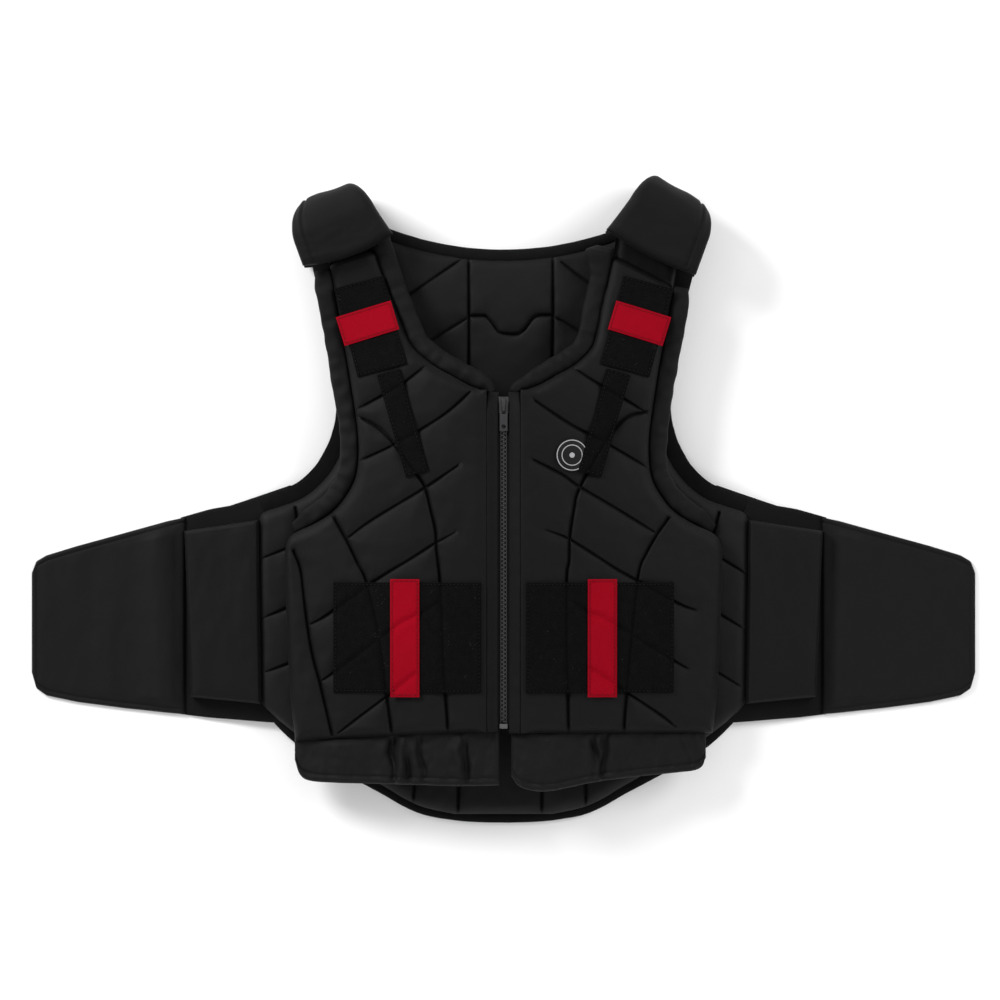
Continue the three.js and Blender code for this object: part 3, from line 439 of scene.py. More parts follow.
def scaledColor(tree, color, factor):
    mix = tree.nodes.new("ShaderNodeMix")
    mix.data_type = "RGBA"
    mix.blend_type = "MIX"
    mix.clamp_factor = False
    mix.inputs["A"].default_value = (0, 0, 0, 1)
    mix.inputs["B"].default_value = (*color, 1)
    tree.links.new(factor, mix.inputs["Factor"])
    return mix.outputs["Result"]


def withLint(tree, color, mask, pale=(0.06, 0.06, 0.06, 1)):
    mix = tree.nodes.new("ShaderNodeMix")
    mix.data_type = "RGBA"
    mix.inputs["B"].default_value = pale
    tree.links.new(color, mix.inputs["A"])
    tree.links.new(mask, mix.inputs["Factor"])
    return mix.outputs["Result"]


def clothMaterial(name, look, hasSeams=True):
    material, tree, shader, place = startMaterial(name)
    weave = placeGroup(tree, "weave", place, Threads=look["threads"])
    seamShade = look["seamShade"] if hasSeams else 0.0
    toneAndShade = placeGroup(tree, "toneAndShade", place, Spread=look["spread"], Dark=seamShade, Width=look["seamWidth"])
    if hasSeams:
        seam = addNode(tree, "ShaderNodeAttribute", attribute_name="seam")
        tree.links.new(seam.outputs["Fac"], toneAndShade.inputs["Seam"])
    lint = placeGroup(tree, "lint", place, Amount=look["lint"])
    thread = addMath(tree, "MULTIPLY_ADD", weave.outputs["Height"], clothShade["weave"])
    tree.links.new(toneAndShade.outputs["Factor"], thread.node.inputs[2])
    color = withLint(tree, scaledColor(tree, look["color"], thread), lint.outputs["Mask"])
    tree.links.new(color, shader.inputs["Base Color"])
    rough = addMath(tree, "MULTIPLY_ADD", toneAndShade.outputs["Factor"], clothShade["roughSwing"])
    rough.node.inputs[2].default_value = look["rough"] - clothShade["roughSwing"]
    tree.links.new(rough, shader.inputs["Roughness"])
    shader.inputs["Sheen Weight"].default_value = look["sheen"]
    shader.inputs["Sheen Roughness"].default_value = look["sheenRough"]
    shader.inputs["Specular IOR Level"].default_value = look.get("gloss", clothShade["gloss"])
    addBump(tree, shader, weave.outputs["Height"], look["depth"] * mm)
    return material


def loopMaterial(name, look):
    material, tree, shader, place = startMaterial(name)
    fuzz = placeGroup(tree, "fuzz", place, Loops=look["loops"])
    lint = placeGroup(tree, "lint", place, Amount=look["lint"])
    tone = addMath(tree, "MULTIPLY_ADD", fuzz.outputs["Tone"], look["toneSwing"])
    tone.node.inputs[2].default_value = look["toneLow"]
    seam = addNode(tree, "ShaderNodeAttribute", attribute_name="seam")
    toneAndShade = placeGroup(tree, "toneAndShade", place, Spread=look["spread"], Dark=look["seamShade"], Width=look["seamWidth"])
    tree.links.new(seam.outputs["Fac"], toneAndShade.inputs["Seam"])
    toned = addMath(tree, "MULTIPLY", tone, toneAndShade.outputs["Factor"])
    pile = addMath(tree, "MULTIPLY", addMath(tree, "ADD", fuzz.outputs["Height"], look["height"]), toned)
    color = withLint(tree, scaledColor(tree, look["color"], pile), lint.outputs["Mask"])
    tree.links.new(color, shader.inputs["Base Color"])
    shader.inputs["Roughness"].default_value = look["rough"]
    shader.inputs["Sheen Weight"].default_value = look["sheen"]
    shader.inputs["Sheen Roughness"].default_value = look["sheenRough"]
    shader.inputs["Specular IOR Level"].default_value = look["gloss"]
    addBump(tree, shader, fuzz.outputs["Height"], look["depth"] * mm)
    return material


def hardMaterial(name, color, rough, metal, grain=0.05, wear=0.15, roughSwing=0.2):
    material, tree, shader, place = startMaterial(name)
    slow = addNode(tree, "ShaderNodeTexNoise", Scale=260.0, Detail=5.0)
    fine = addNode(tree, "ShaderNodeTexNoise", Scale=1800.0, Detail=3.0)
    tree.links.new(place, slow.inputs["Vector"])
    tree.links.new(place, fine.inputs["Vector"])
    tone = addMath(tree, "MULTIPLY_ADD", slow.outputs[0], 2 * wear)
    tone.node.inputs[2].default_value = 1 - wear
    tree.links.new(scaledColor(tree, color, tone), shader.inputs["Base Color"])
    shader.inputs["Metallic"].default_value = metal
    roughness = addMath(tree, "MULTIPLY_ADD", fine.outputs[0], roughSwing)
    roughness.node.inputs[2].default_value = rough - roughSwing / 2
    tree.links.new(roughness, shader.inputs["Roughness"])
    addBump(tree, shader, fine.outputs[0], grain * mm)
    return material


# A dark rubber disc with two pale rings round a dot.
def badgeMaterial(name, look, center, radius):
    material, tree, shader, place = startMaterial(name)
    move = addNode(tree, "ShaderNodeVectorMath", operation="SUBTRACT")
    move.inputs[1].default_value = (center[0], center[1], 0)
    tree.links.new(place, move.inputs[0])
    split = tree.nodes.new("ShaderNodeSeparateXYZ")
    tree.links.new(move.outputs[0], split.inputs[0])
    squareX = addMath(tree, "MULTIPLY", split.outputs[0], split.outputs[0])
    squareY = addMath(tree, "MULTIPLY", split.outputs[1], split.outputs[1])
    away = addMath(tree, "DIVIDE", addMath(tree, "SQRT", addMath(tree, "ADD", squareX, squareY)), radius)
    rings = []
    for share in look["rings"]:
        past = addMath(tree, "ABSOLUTE", addMath(tree, "SUBTRACT", away, share))
        rings.append(addMath(tree, "LESS_THAN", past, look["ringHalf"]))
    dot = addMath(tree, "LESS_THAN", away, look["dot"])
    pale = addMath(tree, "MAXIMUM", addMath(tree, "MAXIMUM", *rings), dot)
    mix = tree.nodes.new("ShaderNodeMix")
    mix.data_type = "RGBA"
    mix.inputs["A"].default_value = look["rubber"]
    mix.inputs["B"].default_value = look["pale"]
    tree.links.new(pale, mix.inputs["Factor"])
    tree.links.new(mix.outputs["Result"], shader.inputs["Base Color"])
    shader.inputs["Roughness"].default_value = look["rough"]
    shader.inputs["Specular IOR Level"].default_value = look["gloss"]
    grain = addNode(tree, "ShaderNodeTexNoise", Scale=1500.0, Detail=3.0)
    tree.links.new(place, grain.inputs["Vector"])
    addBump(tree, shader, grain.outputs[0], look["grain"] * mm)
    return material


cloths = {name: clothMaterial(name, look) for name, look in finishes.items()}
redThreadLook = {**threadLook, "color": (0.14, 0.0006, 0.0045)}
threads = {"black": clothMaterial("blackThread", threadLook, hasSeams=False),
           "red": clothMaterial("redThread", redThreadLook, hasSeams=False)}
loopPile = loopMaterial("loopPile", pileLook)
teethPlastic = hardMaterial("teethPlastic", (0.026, 0.026, 0.0265), 0.4, 0.0)
stopPlastic = hardMaterial("stopPlastic", (0.06, 0.06, 0.062), 0.4, 0.0)
gunMetal = hardMaterial("gunMetal", (0.034, 0.034, 0.036), 0.4, 0.5)
print("materials made")

# Foam panels: blocks of foam under one cloth, sewn down in grooves.
panels = {
    "grain": 2.1 * mm,
    "backGrain": 1.3,  # against the fronts' grain
    "ringStep": 1.6 * mm,
    "lineStep": 1.7 * mm,
    "grooveDepth": 4.6 * mm,
    "grooveWidth": 1.15 * mm,
    "grooveRows": [0, 0.6 * mm, 1.3 * mm, 2.2 * mm, 3.4 * mm],
    "pillow": 3.0 * mm,
    "pillowReach": 6 * mm,
    "wander": 0.35,
    "wanderSize": 0.03,
    "faintLift": 0.45 * mm,
    "faintFrom": 1.6,
    "fadeReach": 16 * mm,
    "unevenSewing": 0.5 * mm,
    "unevenShare": 0.35,
    "unevenSize": 0.028,
    "ledgeDrop": 7 * mm,
    "ledgeFrom": -2.5 * mm,
    "ledgeTo": 3.5 * mm,
    "ledgeShadow": 0.4 * mm,
    "crease": 0.55 * mm,
    "creaseShare": 0.35,
    "creaseSize": 0.011,
    "creaseReach": 0.012,
    "ridgeSize": 0.034,
    "sway": 0.8 * mm,
    "swaySize": 0.06,
    "calmEdge": 0.008,
    "zipFirm": 0.2,
    "zipReach": 16 * mm,
    "topFall": 0.55,
    "underFall": 0.3,
    "leastShare": 0.3,
    "leastThick": 2 * mm,
    "edgeSeam": 0.02,
}
# Outlines and sewn lines: across as shares of the piece's half width, along as shares of the body's length.
backRows = {
    "y": [0.012, 0.023, 0.039, 0.057, 0.084, 0.118, 0.153, 0.183, 0.206, 0.24, 0.318, 0.413, 0.5, 0.528,
          0.541, 0.551, 0.563, 0.58, 0.605, 0.633, 0.668, 0.712, 0.755, 0.808, 0.86, 0.913, 0.956, 0.99, 1.045],
    "x": [0.2, 0.32, 0.405, 0.475, 0.585, 0.725, 0.85, 0.935, 0.985, 0.992, 0.995, 1.0, 1.0, 0.998, 0.98,
          0.91, 0.835, 0.775, 0.718, 0.677, 0.641, 0.62, 0.62, 0.637, 0.657, 0.68, 0.705, 0.722, 0.735],
}
frontRows = {
    "y": [0.152, 0.213, 0.3, 0.388, 0.458, 0.489, 0.505, 0.52, 0.54, 0.565, 0.6, 0.642, 0.687, 0.73, 0.753,
          0.762, 0.777, 0.797, 0.826, 0.86, 0.904, 0.948, 1.0, 1.03],
    "x": [0.955, 0.973, 0.987, 0.996, 1.0, 0.99, 0.955, 0.87, 0.785, 0.725, 0.675, 0.66, 0.665, 0.68, 0.69,
          0.694, 0.7, 0.709, 0.723, 0.738, 0.76, 0.782, 0.805, 0.815],
}
neckRows = {
    "left": {
        "y": [0.753, 0.762, 0.777, 0.797, 0.826, 0.86, 0.904, 0.948, 1.0, 1.03],
        "x": [0.105, 0.165, 0.235, 0.325, 0.4, 0.428, 0.448, 0.476, 0.505, 0.515],
    },
    "right": {
        "y": [0.753, 0.762, 0.777, 0.797, 0.826, 0.86, 0.904, 0.948, 1.0, 1.03],
        "x": [0.105, 0.165, 0.235, 0.325, 0.41, 0.457, 0.5, 0.543, 0.59, 0.61],
    },
}
frontGrooves = {
    "right": {
        "deep": [
            [(0.694, 0.714), (0.543, 0.68), (0.387, 0.603), (0.355, 0.583), (0.332, 0.548), (0.309, 0.51),
             (0.305, 0.478), (0.291, 0.433), (0.282, 0.375), (0.273, 0.275), (0.257, 0.188), (0.252, 0.153)],
            [(0.79, 0.545), (0.712, 0.491), (0.667, 0.456), (0.621, 0.417), (0.565, 0.32), (0.529, 0.216),
             (0.506, 0.153)],
            [(0.96, 0.475), (0.928, 0.444), (0.909, 0.386), (0.891, 0.335), (0.868, 0.288), (0.836, 0.244),
             (0.809, 0.199), (0.781, 0.153)],
        ],
        "faint": [
            [(0.35, 0.796), (0.465, 0.763), (0.598, 0.734), (0.69, 0.716)],
            [(0.131, 0.757), (0.254, 0.715), (0.383, 0.683), (0.515, 0.655), (0.662, 0.629), (0.7, 0.618)],
            [(0.208, 0.622), (0.364, 0.582), (0.598, 0.528), (0.712, 0.496)],
            [(0.227, 0.505), (0.318, 0.486), (0.433, 0.458), (0.561, 0.428), (0.795, 0.365), (0.882, 0.346)],
            [(0.29, 0.386), (0.41, 0.36), (0.493, 0.342), (0.79, 0.258), (0.836, 0.248)],
            [(0.4, 0.262), (0.538, 0.22), (0.653, 0.187), (0.754, 0.157)],
        ],
    },
    "left": {
        "deep": [
            [(0.653, 0.716), (0.561, 0.706), (0.479, 0.674), (0.346, 0.585), (0.318, 0.545), (0.3, 0.5),
             (0.296, 0.456), (0.286, 0.43), (0.286, 0.318), (0.291, 0.232), (0.296, 0.153)],
            [(0.749, 0.531), (0.694, 0.501), (0.648, 0.47), (0.612, 0.433), (0.58, 0.32), (0.557, 0.22),
             (0.546, 0.153)],
        ],
        "faint": [
            [(0.273, 0.802), (0.415, 0.767), (0.56, 0.735), (0.655, 0.712)],
            [(0.144, 0.734), (0.204, 0.718), (0.318, 0.69), (0.47, 0.66), (0.63, 0.624), (0.665, 0.612)],
            [(0.14, 0.631), (0.268, 0.606), (0.337, 0.587), (0.502, 0.55), (0.694, 0.505)],
            [(0.199, 0.51), (0.291, 0.496), (0.419, 0.466), (0.538, 0.437), (0.79, 0.384), (0.868, 0.372)],
            [(0.3, 0.39), (0.392, 0.368), (0.488, 0.351), (0.786, 0.281), (0.832, 0.271)],
            [(0.392, 0.271), (0.488, 0.248), (0.575, 0.225), (0.722, 0.187), (0.786, 0.167)],
        ],
    },
}
backGrooves = {
    "deep": [
        [(-0.143, 1.01), (-0.143, 0.79), (-0.165, 0.5), (-0.186, 0.012)],
        [(0.2, 1.01), (0.2, 0.79), (0.18, 0.5), (0.155, 0.012)],
        [(-0.143, 0.884), (-0.11, 0.884), (-0.075, 0.884), (-0.045, 0.871), (-0.02, 0.856), (0.015, 0.852),
         (0.06, 0.852), (0.085, 0.86), (0.108, 0.874), (0.135, 0.884), (0.2, 0.885)],
        [(-0.37, 0.02), (-0.36, 0.14), (-0.4, 0.35), (-0.5, 0.6)],
        [(0.335, 0.02), (0.34, 0.14), (0.38, 0.35), (0.48, 0.6)],
        [(-0.85, 0.55), (-0.81, 0.46), (-0.72, 0.22)],
        [(0.88, 0.54), (0.83, 0.46), (0.74, 0.22)],
    ],
    "faint": [
        [(-0.165, 0.985), (-0.38, 0.923), (-0.6, 0.862)],
        [(-0.143, 0.881), (-0.3, 0.84), (-0.58, 0.76)],
        [(0.235, 0.978), (0.34, 0.944), (0.6, 0.87)],
        [(0.2, 0.883), (0.29, 0.862), (0.58, 0.78)],
        [(-0.99, 0.46), (-0.81, 0.49)],
        [(-0.99, 0.355), (-0.79, 0.39)],
        [(-0.97, 0.262), (-0.75, 0.296)],
        [(0.99, 0.434), (0.82, 0.478)],
        [(0.99, 0.335), (0.8, 0.384)],
        [(0.97, 0.236), (0.76, 0.29)],
    ],
}


curveStep = 0.004


def sewnLines(grooves, half):
    return {kind: [smoothCurve([(u * half, alongY(v)) for u, v in run], curveStep) for run in runs]
            for kind, runs in grooves.items()}


# Distance to the sewn lines. The faint ones fade at their ends, and all of them where the noise is high.
def toSewn(x, y, lines):
    look = panels
    best = distanceTo(x, y, lines["deep"])
    for line in lines["faint"]:
        first, last = line[0], line[-1]
        ends = np.minimum(np.hypot(x - first[0], y - first[1]), np.hypot(x - last[0], y - last[1]))
        loose = look["faintLift"] * (look["faintFrom"] - np.clip(ends / look["fadeReach"], 0, 1))
        best = np.minimum(best, distanceTo(x, y, [line]) + loose)
    uneven = np.clip(look["unevenShare"] + noiseAt(x, y, look["unevenSize"], 17.0), 0, 1)
    return best + look["unevenSewing"] * uneven


def outlineAt(rows, y):
    curve = smoothCurve(np.column_stack([rows["y"], rows["x"]]), curveStep)
    return np.interp(y, curve[:, 0], curve[:, 1])


# Points about a step apart round a closed outline, its corners kept.
def closedRing(points, step):
    points = np.asarray(points, float)
    out = []
    for start, end in zip(points, np.roll(points, -1, axis=0)):
        count = max(1, round(float(np.linalg.norm(end - start)) / step))
        out.append(start + (end - start) * (np.arange(count) / count)[:, None])
    return np.vstack(out)


def isInside(points, ring):
    x, y = points[:, 0], points[:, 1]
    inside = np.zeros(len(points), bool)
    for (ax, ay), (bx, by) in zip(ring, np.roll(ring, -1, axis=0)):
        if ay == by:
            continue
        crosses = (ay > y) != (by > y)
        inside ^= crosses & (x < (bx - ax) * (y - ay) / (by - ay) + ax)
    return inside


# Points on both sides of a line, or on it.
def besideLine(line, away):
    path = resample(line, panels["lineStep"])[0]
    run = np.gradient(path, axis=0)
    run /= np.linalg.norm(run, axis=1)[:, None]
    side = np.column_stack([-run[:, 1], run[:, 0]]) * away
    return path if away == 0 else np.vstack([path + side, path - side])


# Rows of points follow the pad's edge at these distances.
rimSteps = [0.5 * mm, 1.2 * mm, 2.3 * mm, 3.8 * mm, 5.6 * mm, 7.6 * mm]
spacing = {"rim": 0.97, "inner": 0.6, "sewnToEdge": 0.9 * mm}


# A closed pad over an outline. surfaces(x, y, toEdge) gives upper, lower and seam.
def padOver(name, outline, size, surfaces, lines):
    ring = closedRing(outline, panels["ringStep"])
    loop = [np.vstack([ring, ring[:1]])]
    run = np.roll(ring, -1, axis=0) - np.roll(ring, 1, axis=0)
    run /= np.linalg.norm(run, axis=1)[:, None]
    area = np.sum(ring[:, 0] * np.roll(ring[:, 1], -1) - np.roll(ring[:, 0], -1) * ring[:, 1])
    inward = np.column_stack([-run[:, 1], run[:, 0]]) * math.copysign(1, area)
    kept = [ring]
    for distance in rimSteps:
        moved = ring + inward * distance
        clear = distanceTo(moved[:, 0], moved[:, 1], loop) > spacing["rim"] * distance
        kept.append(moved[clear & isInside(moved, ring)])
    low, high = ring.min(axis=0), ring.max(axis=0)
    columns, rows = np.arange(low[0], high[0], size), np.arange(low[1], high[1], size * math.sqrt(3) / 2)
    gridY, gridX = np.meshgrid(rows, columns, indexing="ij")
    gridX = gridX + 0.5 * size * (np.arange(len(gridX)) % 2)[:, None]
    hexes = np.column_stack([gridX.ravel(), gridY.ravel()])
    hexes = hexes[isInside(hexes, ring)]
    inner = spacing["inner"] * size
    hexes = hexes[distanceTo(hexes[:, 0], hexes[:, 1], loop) > rimSteps[-1] + inner]
    sewn = np.vstack([besideLine(line, away) for line in lines for away in panels["grooveRows"]])
    sewn = sewn[isInside(sewn, ring)]
    kept.append(sewn[distanceTo(sewn[:, 0], sewn[:, 1], loop) > spacing["sewnToEdge"]])
    kept.append(hexes[distanceTo(hexes[:, 0], hexes[:, 1], lines) > panels["grooveRows"][-1] + inner])
    points = [Vector(p) for p in np.vstack(kept)]
    count = len(ring)
    borders = [(i, (i + 1) % count) for i in range(count)]
    flat, _, triangles = geometry.delaunay_2d_cdt(points, borders, [], 1, 1e-7, False)[:3]
    flat = np.array([tuple(p) for p in flat])
    x, y = flat[:, 0], flat[:, 1]
    toEdge = distanceTo(x, y, loop)
    upper, lower, seam = surfaces(x, y, toEdge)
    total = len(flat)
    middles = flat[np.array(triangles)].mean(axis=1)
    faces = [tuple(f) for f, inside in zip(triangles, isInside(middles, ring)) if inside]
    edgeUse = {}
    for f in faces:
        for start, end in zip(f, f[1:] + f[:1]):
            edgeUse[(start, end)] = edgeUse.get((start, end), 0) + 1
    rim = [pair for pair in edgeUse if (pair[1], pair[0]) not in edgeUse]
    under = [tuple(total + i for i in reversed(f)) for f in faces]
    walls = [(start, start + total, end + total, end) for start, end in rim]
    both = np.concatenate([np.column_stack([x, y, upper]), np.column_stack([x, y, lower])])
    uv = np.concatenate([flat, flat])
    return faceOut(makeObject(name, both, faces + under + walls, uv, np.concatenate([seam, seam])))


# How far a point lies past a line, on its left.
def beyond(x, y, line):
    (ax, ay), (bx, by) = line
    size = math.hypot(bx - ax, by - ay)
    return ((x - ax) * (ay - by) + (y - ay) * (bx - ax)) / size


# Foam blocks under one cloth, sewn down along the lines. The foam steps down past the ledge, a line of two
# points, and its edge falls less near the zip, from firmFrom on.
def quiltedSurfaces(floor, top, lines, seed, ledge=None, firmFrom=None):
    look = panels

    def surfaces(x, y, toEdge):
        toLine = toSewn(x, y, lines)
        thick = top(x, y) - floor(x, y)
        wander = 1 + look["wander"] * noiseAt(x, y, look["wanderSize"], seed)
        groove = look["grooveDepth"] * np.exp(-((toLine / look["grooveWidth"]) ** 2))
        pillow = look["pillow"] * np.exp(-toLine / (look["pillowReach"] * wander))
        sag = look["sway"] * noiseAt(x, y, look["swaySize"], seed + 3)
        near = np.exp(-np.minimum(toLine, toEdge) / look["creaseReach"])
        creases = look["crease"] * (look["creaseShare"] + near) * noiseAt(x, y, look["creaseSize"], seed + 7)
        slanting = noiseAt(x * 1.3 + y, y * 0.8 - x, look["ridgeSize"], seed + 11)
        ridges = 0.5 * look["crease"] * (1 - 2 * np.abs(slanting))
        inside = np.clip(toEdge / look["calmEdge"], 0, 1)
        fall = roundFall(toEdge, body["rim"])
        if firmFrom is not None:
            soft = smoothstep(x, firmFrom, firmFrom + look["zipReach"])
            fall = fall * (look["zipFirm"] + (1 - look["zipFirm"]) * soft)
        upper = top(x, y) - look["topFall"] * fall * thick - inside * (groove + pillow - sag - creases - ridges)
        upper = np.maximum(upper, floor(x, y) + look["leastShare"] * thick)
        lower = floor(x, y) + look["underFall"] * fall * thick
        # Painted shade: the cloth is darkened into the sewn grooves.
        seam = np.minimum(toLine, toEdge + look["edgeSeam"])
        if ledge is not None:
            past = beyond(x, y, ledge)
            drop = look["ledgeDrop"] * smoothstep(past, look["ledgeFrom"], look["ledgeTo"])
            upper = np.maximum(upper - drop, lower + look["leastThick"])
            # Past the ledge, under the shoulder cap, the foam is painted dark as the cap's shadow.
            seam = np.where(past > 0, np.minimum(seam, look["ledgeShadow"]), seam)
        return upper, lower, seam

    return surfaces


hemSlope = {
    "left": {"middle": 0.158, "side": 0.156},
    "right": {"middle": 0.161, "side": 0.141},
    "bend": 1.3,
}


# Where the foam's lower edge lies along the body.
def hemShareAt(side, x):
    slope = hemSlope[side]
    outward = np.clip(x / body["frontHalf"], 0, 1) ** hemSlope["bend"]
    return slope["middle"] + (slope["side"] - slope["middle"]) * outward


outlinePoints = {"side": 260, "neck": 90, "hem": 40, "back": 320, "backNeck": 80}


def frontOutline(side):
    half = body["frontHalf"]
    low, high = float(hemShareAt(side, half)), frontRows["y"][-1]
    outerShare = np.linspace(low, high, outlinePoints["side"])
    outer = np.column_stack([half * outlineAt(frontRows, outerShare), alongY(outerShare)])
    neckShare = np.linspace(high, neckRows[side]["y"][0], outlinePoints["neck"])
    neck = np.column_stack([half * outlineAt(neckRows[side], neckShare), alongY(neckShare)])
    hemX = np.linspace(body["zipSewn"], outer[0, 0], outlinePoints["hem"])[:-1]
    hem = np.column_stack([hemX, alongY(hemShareAt(side, hemX))])
    return np.vstack([outer, neck, [[body["zipSewn"], neck[-1, 1]]], hem])


# The line at each shoulder past which the foam steps down.
shoulderEnds = {"left": [(0.0897, 0.232), (0.1567, 0.1976)], "right": [(0.122, 0.231), (0.177, 0.215)]}


def frontPanel(side):
    half = body["frontHalf"]
    lines = sewnLines(frontGrooves[side], half)
    seed = 5.0 if side == "left" else 9.0
    surfaces = quiltedSurfaces(frontFloor, frontTop, lines, seed, shoulderEnds[side], body["zipSewn"])
    sewn = lines["deep"] + lines["faint"]
    obj = padOver(f"front_{side}", frontOutline(side), panels["grain"], surfaces, sewn)
    if side == "right":
        mirrorMesh(obj)
    return rideAndName(obj, f"front_panel_{side}", cloths["shellCloth"])


def mirrorMesh(obj):
    count = len(obj.data.vertices)
    points = np.zeros(count * 3)
    obj.data.vertices.foreach_get("co", points)
    points = points.reshape(-1, 3)
    points[:, 0] *= -1
    obj.data.vertices.foreach_set("co", points.ravel())
    obj.data.flip_normals()
    return obj


neckOpening = {"half": 0.104, "depth": 18 * mm, "binding": 9 * mm, "corner": 16 * mm, "over": 7 * mm}


def neckEdgeY(x):
    half, depth = neckOpening["half"], neckOpening["depth"]
    radius = (half**2 + depth**2) / (2 * depth)
    bottom = alongY(1) - neckOpening["binding"]
    return bottom + radius - np.sqrt(radius**2 - np.asarray(x) ** 2)


def backPanel():
    half = body["backHalf"]
    share = np.linspace(backRows["y"][0], backRows["y"][-1], outlinePoints["back"])
    right = np.column_stack([half * outlineAt(backRows, share), alongY(share)])
    neckX = np.linspace(neckOpening["half"], -neckOpening["half"], outlinePoints["backNeck"])
    neck = np.column_stack([neckX, neckEdgeY(neckX)])
    top = right[-1, 1]
    shoulder = neckOpening["half"] + neckOpening["corner"]
    outline = np.vstack([right, [[shoulder, top]], neck, [[-shoulder, top]], right[::-1] * [-1, 1]])
    lines = sewnLines(backGrooves, half)
    surfaces = quiltedSurfaces(backFloor, backTop, lines, 2.0)
    size = panels["backGrain"] * panels["grain"]
    obj = padOver("back", outline, size, surfaces, lines["deep"] + lines["faint"])
    return rideAndName(obj, "back_panel", cloths["litLiningCloth"])


backPanel()
for side in ("left", "right"):
    frontPanel(side)
print("panels made")


# Shares spread evenly over a run, or 1 where none are given.
def spreadOver(at, shares):
    if shares is None:
        return np.ones(len(at))
    return np.interp(at / at[-1], np.linspace(0, 1, len(shares)), shares)


puckers = {"widthSwing": 0.25, "widthSize": 0.012, "wavePitch": 1.7, "waveDrift": 3, "driftSize": 0.02,
           "waveShare": 0.35}


# Rolled bands and bindings: a closed section of (offset, height) points carried along a line. A positive
# offset is on the line's right, and widths and heights are shares along the run.
def carried(name, line, section, base, step=2 * mm, pucker=0.0, puckerPitch=7 * mm, seed=0.0,
            widths=None, heights=None, seamShadeAt=None):
    path, at = resample(smoothCurve(line, step), step)
    run = np.gradient(path, axis=0)
    run /= np.linalg.norm(run, axis=1)[:, None]
    right = np.column_stack([run[:, 1], -run[:, 0]])
    outline = np.asarray(section, float)
    swing = puckers["widthSwing"] * pucker / mm * 0.16
    wide = spreadOver(at, widths) * (1 + swing * noiseAt(at, 0 * at, puckers["widthSize"], seed + 8))
    x = path[:, 0, None] + right[:, 0, None] * outline[None, :, 0] * wide[:, None]
    y = path[:, 1, None] + right[:, 1, None] * outline[None, :, 0] * wide[:, None]
    height = outline[None, :, 1] * spreadOver(at, heights)[:, None]
    lifted = height / max(1e-9, outline[:, 1].max())
    bumps = noiseAt(at[:, None] * np.ones_like(x), outline[None, :, 0] * np.ones_like(x), puckerPitch, seed)
    drift = puckers["waveDrift"] * noiseAt(at, at * 0, puckers["driftSize"], seed + 4)
    waves = np.sin(2 * math.pi * at / (puckers["wavePitch"] * puckerPitch) + drift)[:, None]
    z = np.maximum(base(x, y) + height + lifted * pucker * (bumps + puckers["waveShare"] * waves), 0)
    grid = np.stack([x, y, z], axis=-1)
    count, size = x.shape
    index = np.arange(count * size).reshape(count, size)
    after = np.roll(index, -1, axis=1)
    faces = np.stack([index[:-1], index[1:], after[1:], after[:-1]], axis=-1).reshape(-1, 4).tolist()
    faces += [index[0].tolist(), index[-1][::-1].tolist()]
    around = np.concatenate([[0], np.cumsum(np.linalg.norm(np.diff(outline, axis=0), axis=1))])
    uv = np.stack([at[:, None] * np.ones_like(x), around[None, :] * np.ones_like(x)], axis=-1)
    noSeam = 0.05
    seam = np.full(x.shape, noSeam)
    # At one offset across the section the colour darkens: painted shade in the crease of the seam where the piece is
    # sewn on or stitched down.
    if seamShadeAt is not None:
        seam = np.abs(outline[None, :, 0] - seamShadeAt) * np.ones_like(x)
    return faceOut(makeObject(name, grid, faces, uv, seam))


rollForm = {"above": 24, "below": 12, "waist": 0.45, "round": 0.7}


# A padded roll: full in the middle, dipping to the seam where it joins the foam.
def roll(width, thick, lift=1 * mm, start=0.3 * mm):
    above, below, waist = rollForm["above"], rollForm["below"], rollForm["waist"]
    shape = []
    for k in range(above + 1):
        turn = math.pi * (1 - k / above)
        full = max(0.0, math.sin(turn)) ** rollForm["round"]
        shape.append((0.5 + 0.5 * math.cos(turn), waist + (1 - waist) * full))
    for k in range(1, below):
        turn = math.pi * k / below
        shape.append((0.5 + 0.5 * math.cos(turn), waist - waist * math.sin(turn) ** rollForm["round"]))
    return [(start + u * (width - start), lift + v * thick) for u, v in shape]


def pairOf(make, node, name, material, asSheet=None):
    for side in ("left", "right"):
        obj = make(side)
        obj.name = f"{name}_{side}"
        obj.data.name = obj.name
        if side == "right":
            mirrorMesh(obj)
        rideAndName(obj, f"{node}_{side}", material)
        if asSheet:
            asSheet(obj, side)


# The points of the rows between two shares of the body's length, and those at the two.
def frontRun(rows, low, high, half):
    apart = 0.004
    share = np.array([low] + [v for v in rows["y"] if low + apart < v < high - apart] + [high])
    return np.column_stack([half * np.interp(share, rows["y"], rows["x"]), alongY(share)])


bands = {
    "neckWidth": 17 * mm,
    "neckThick": 10.5 * mm,
    "neckFrom": 0.753,
    "armWidth": 17.5 * mm,
    "armThick": 10.5 * mm,
    "armFrom": 0.505,
    "pucker": 1.4 * mm,
    "puckerPitch": 9 * mm,
}
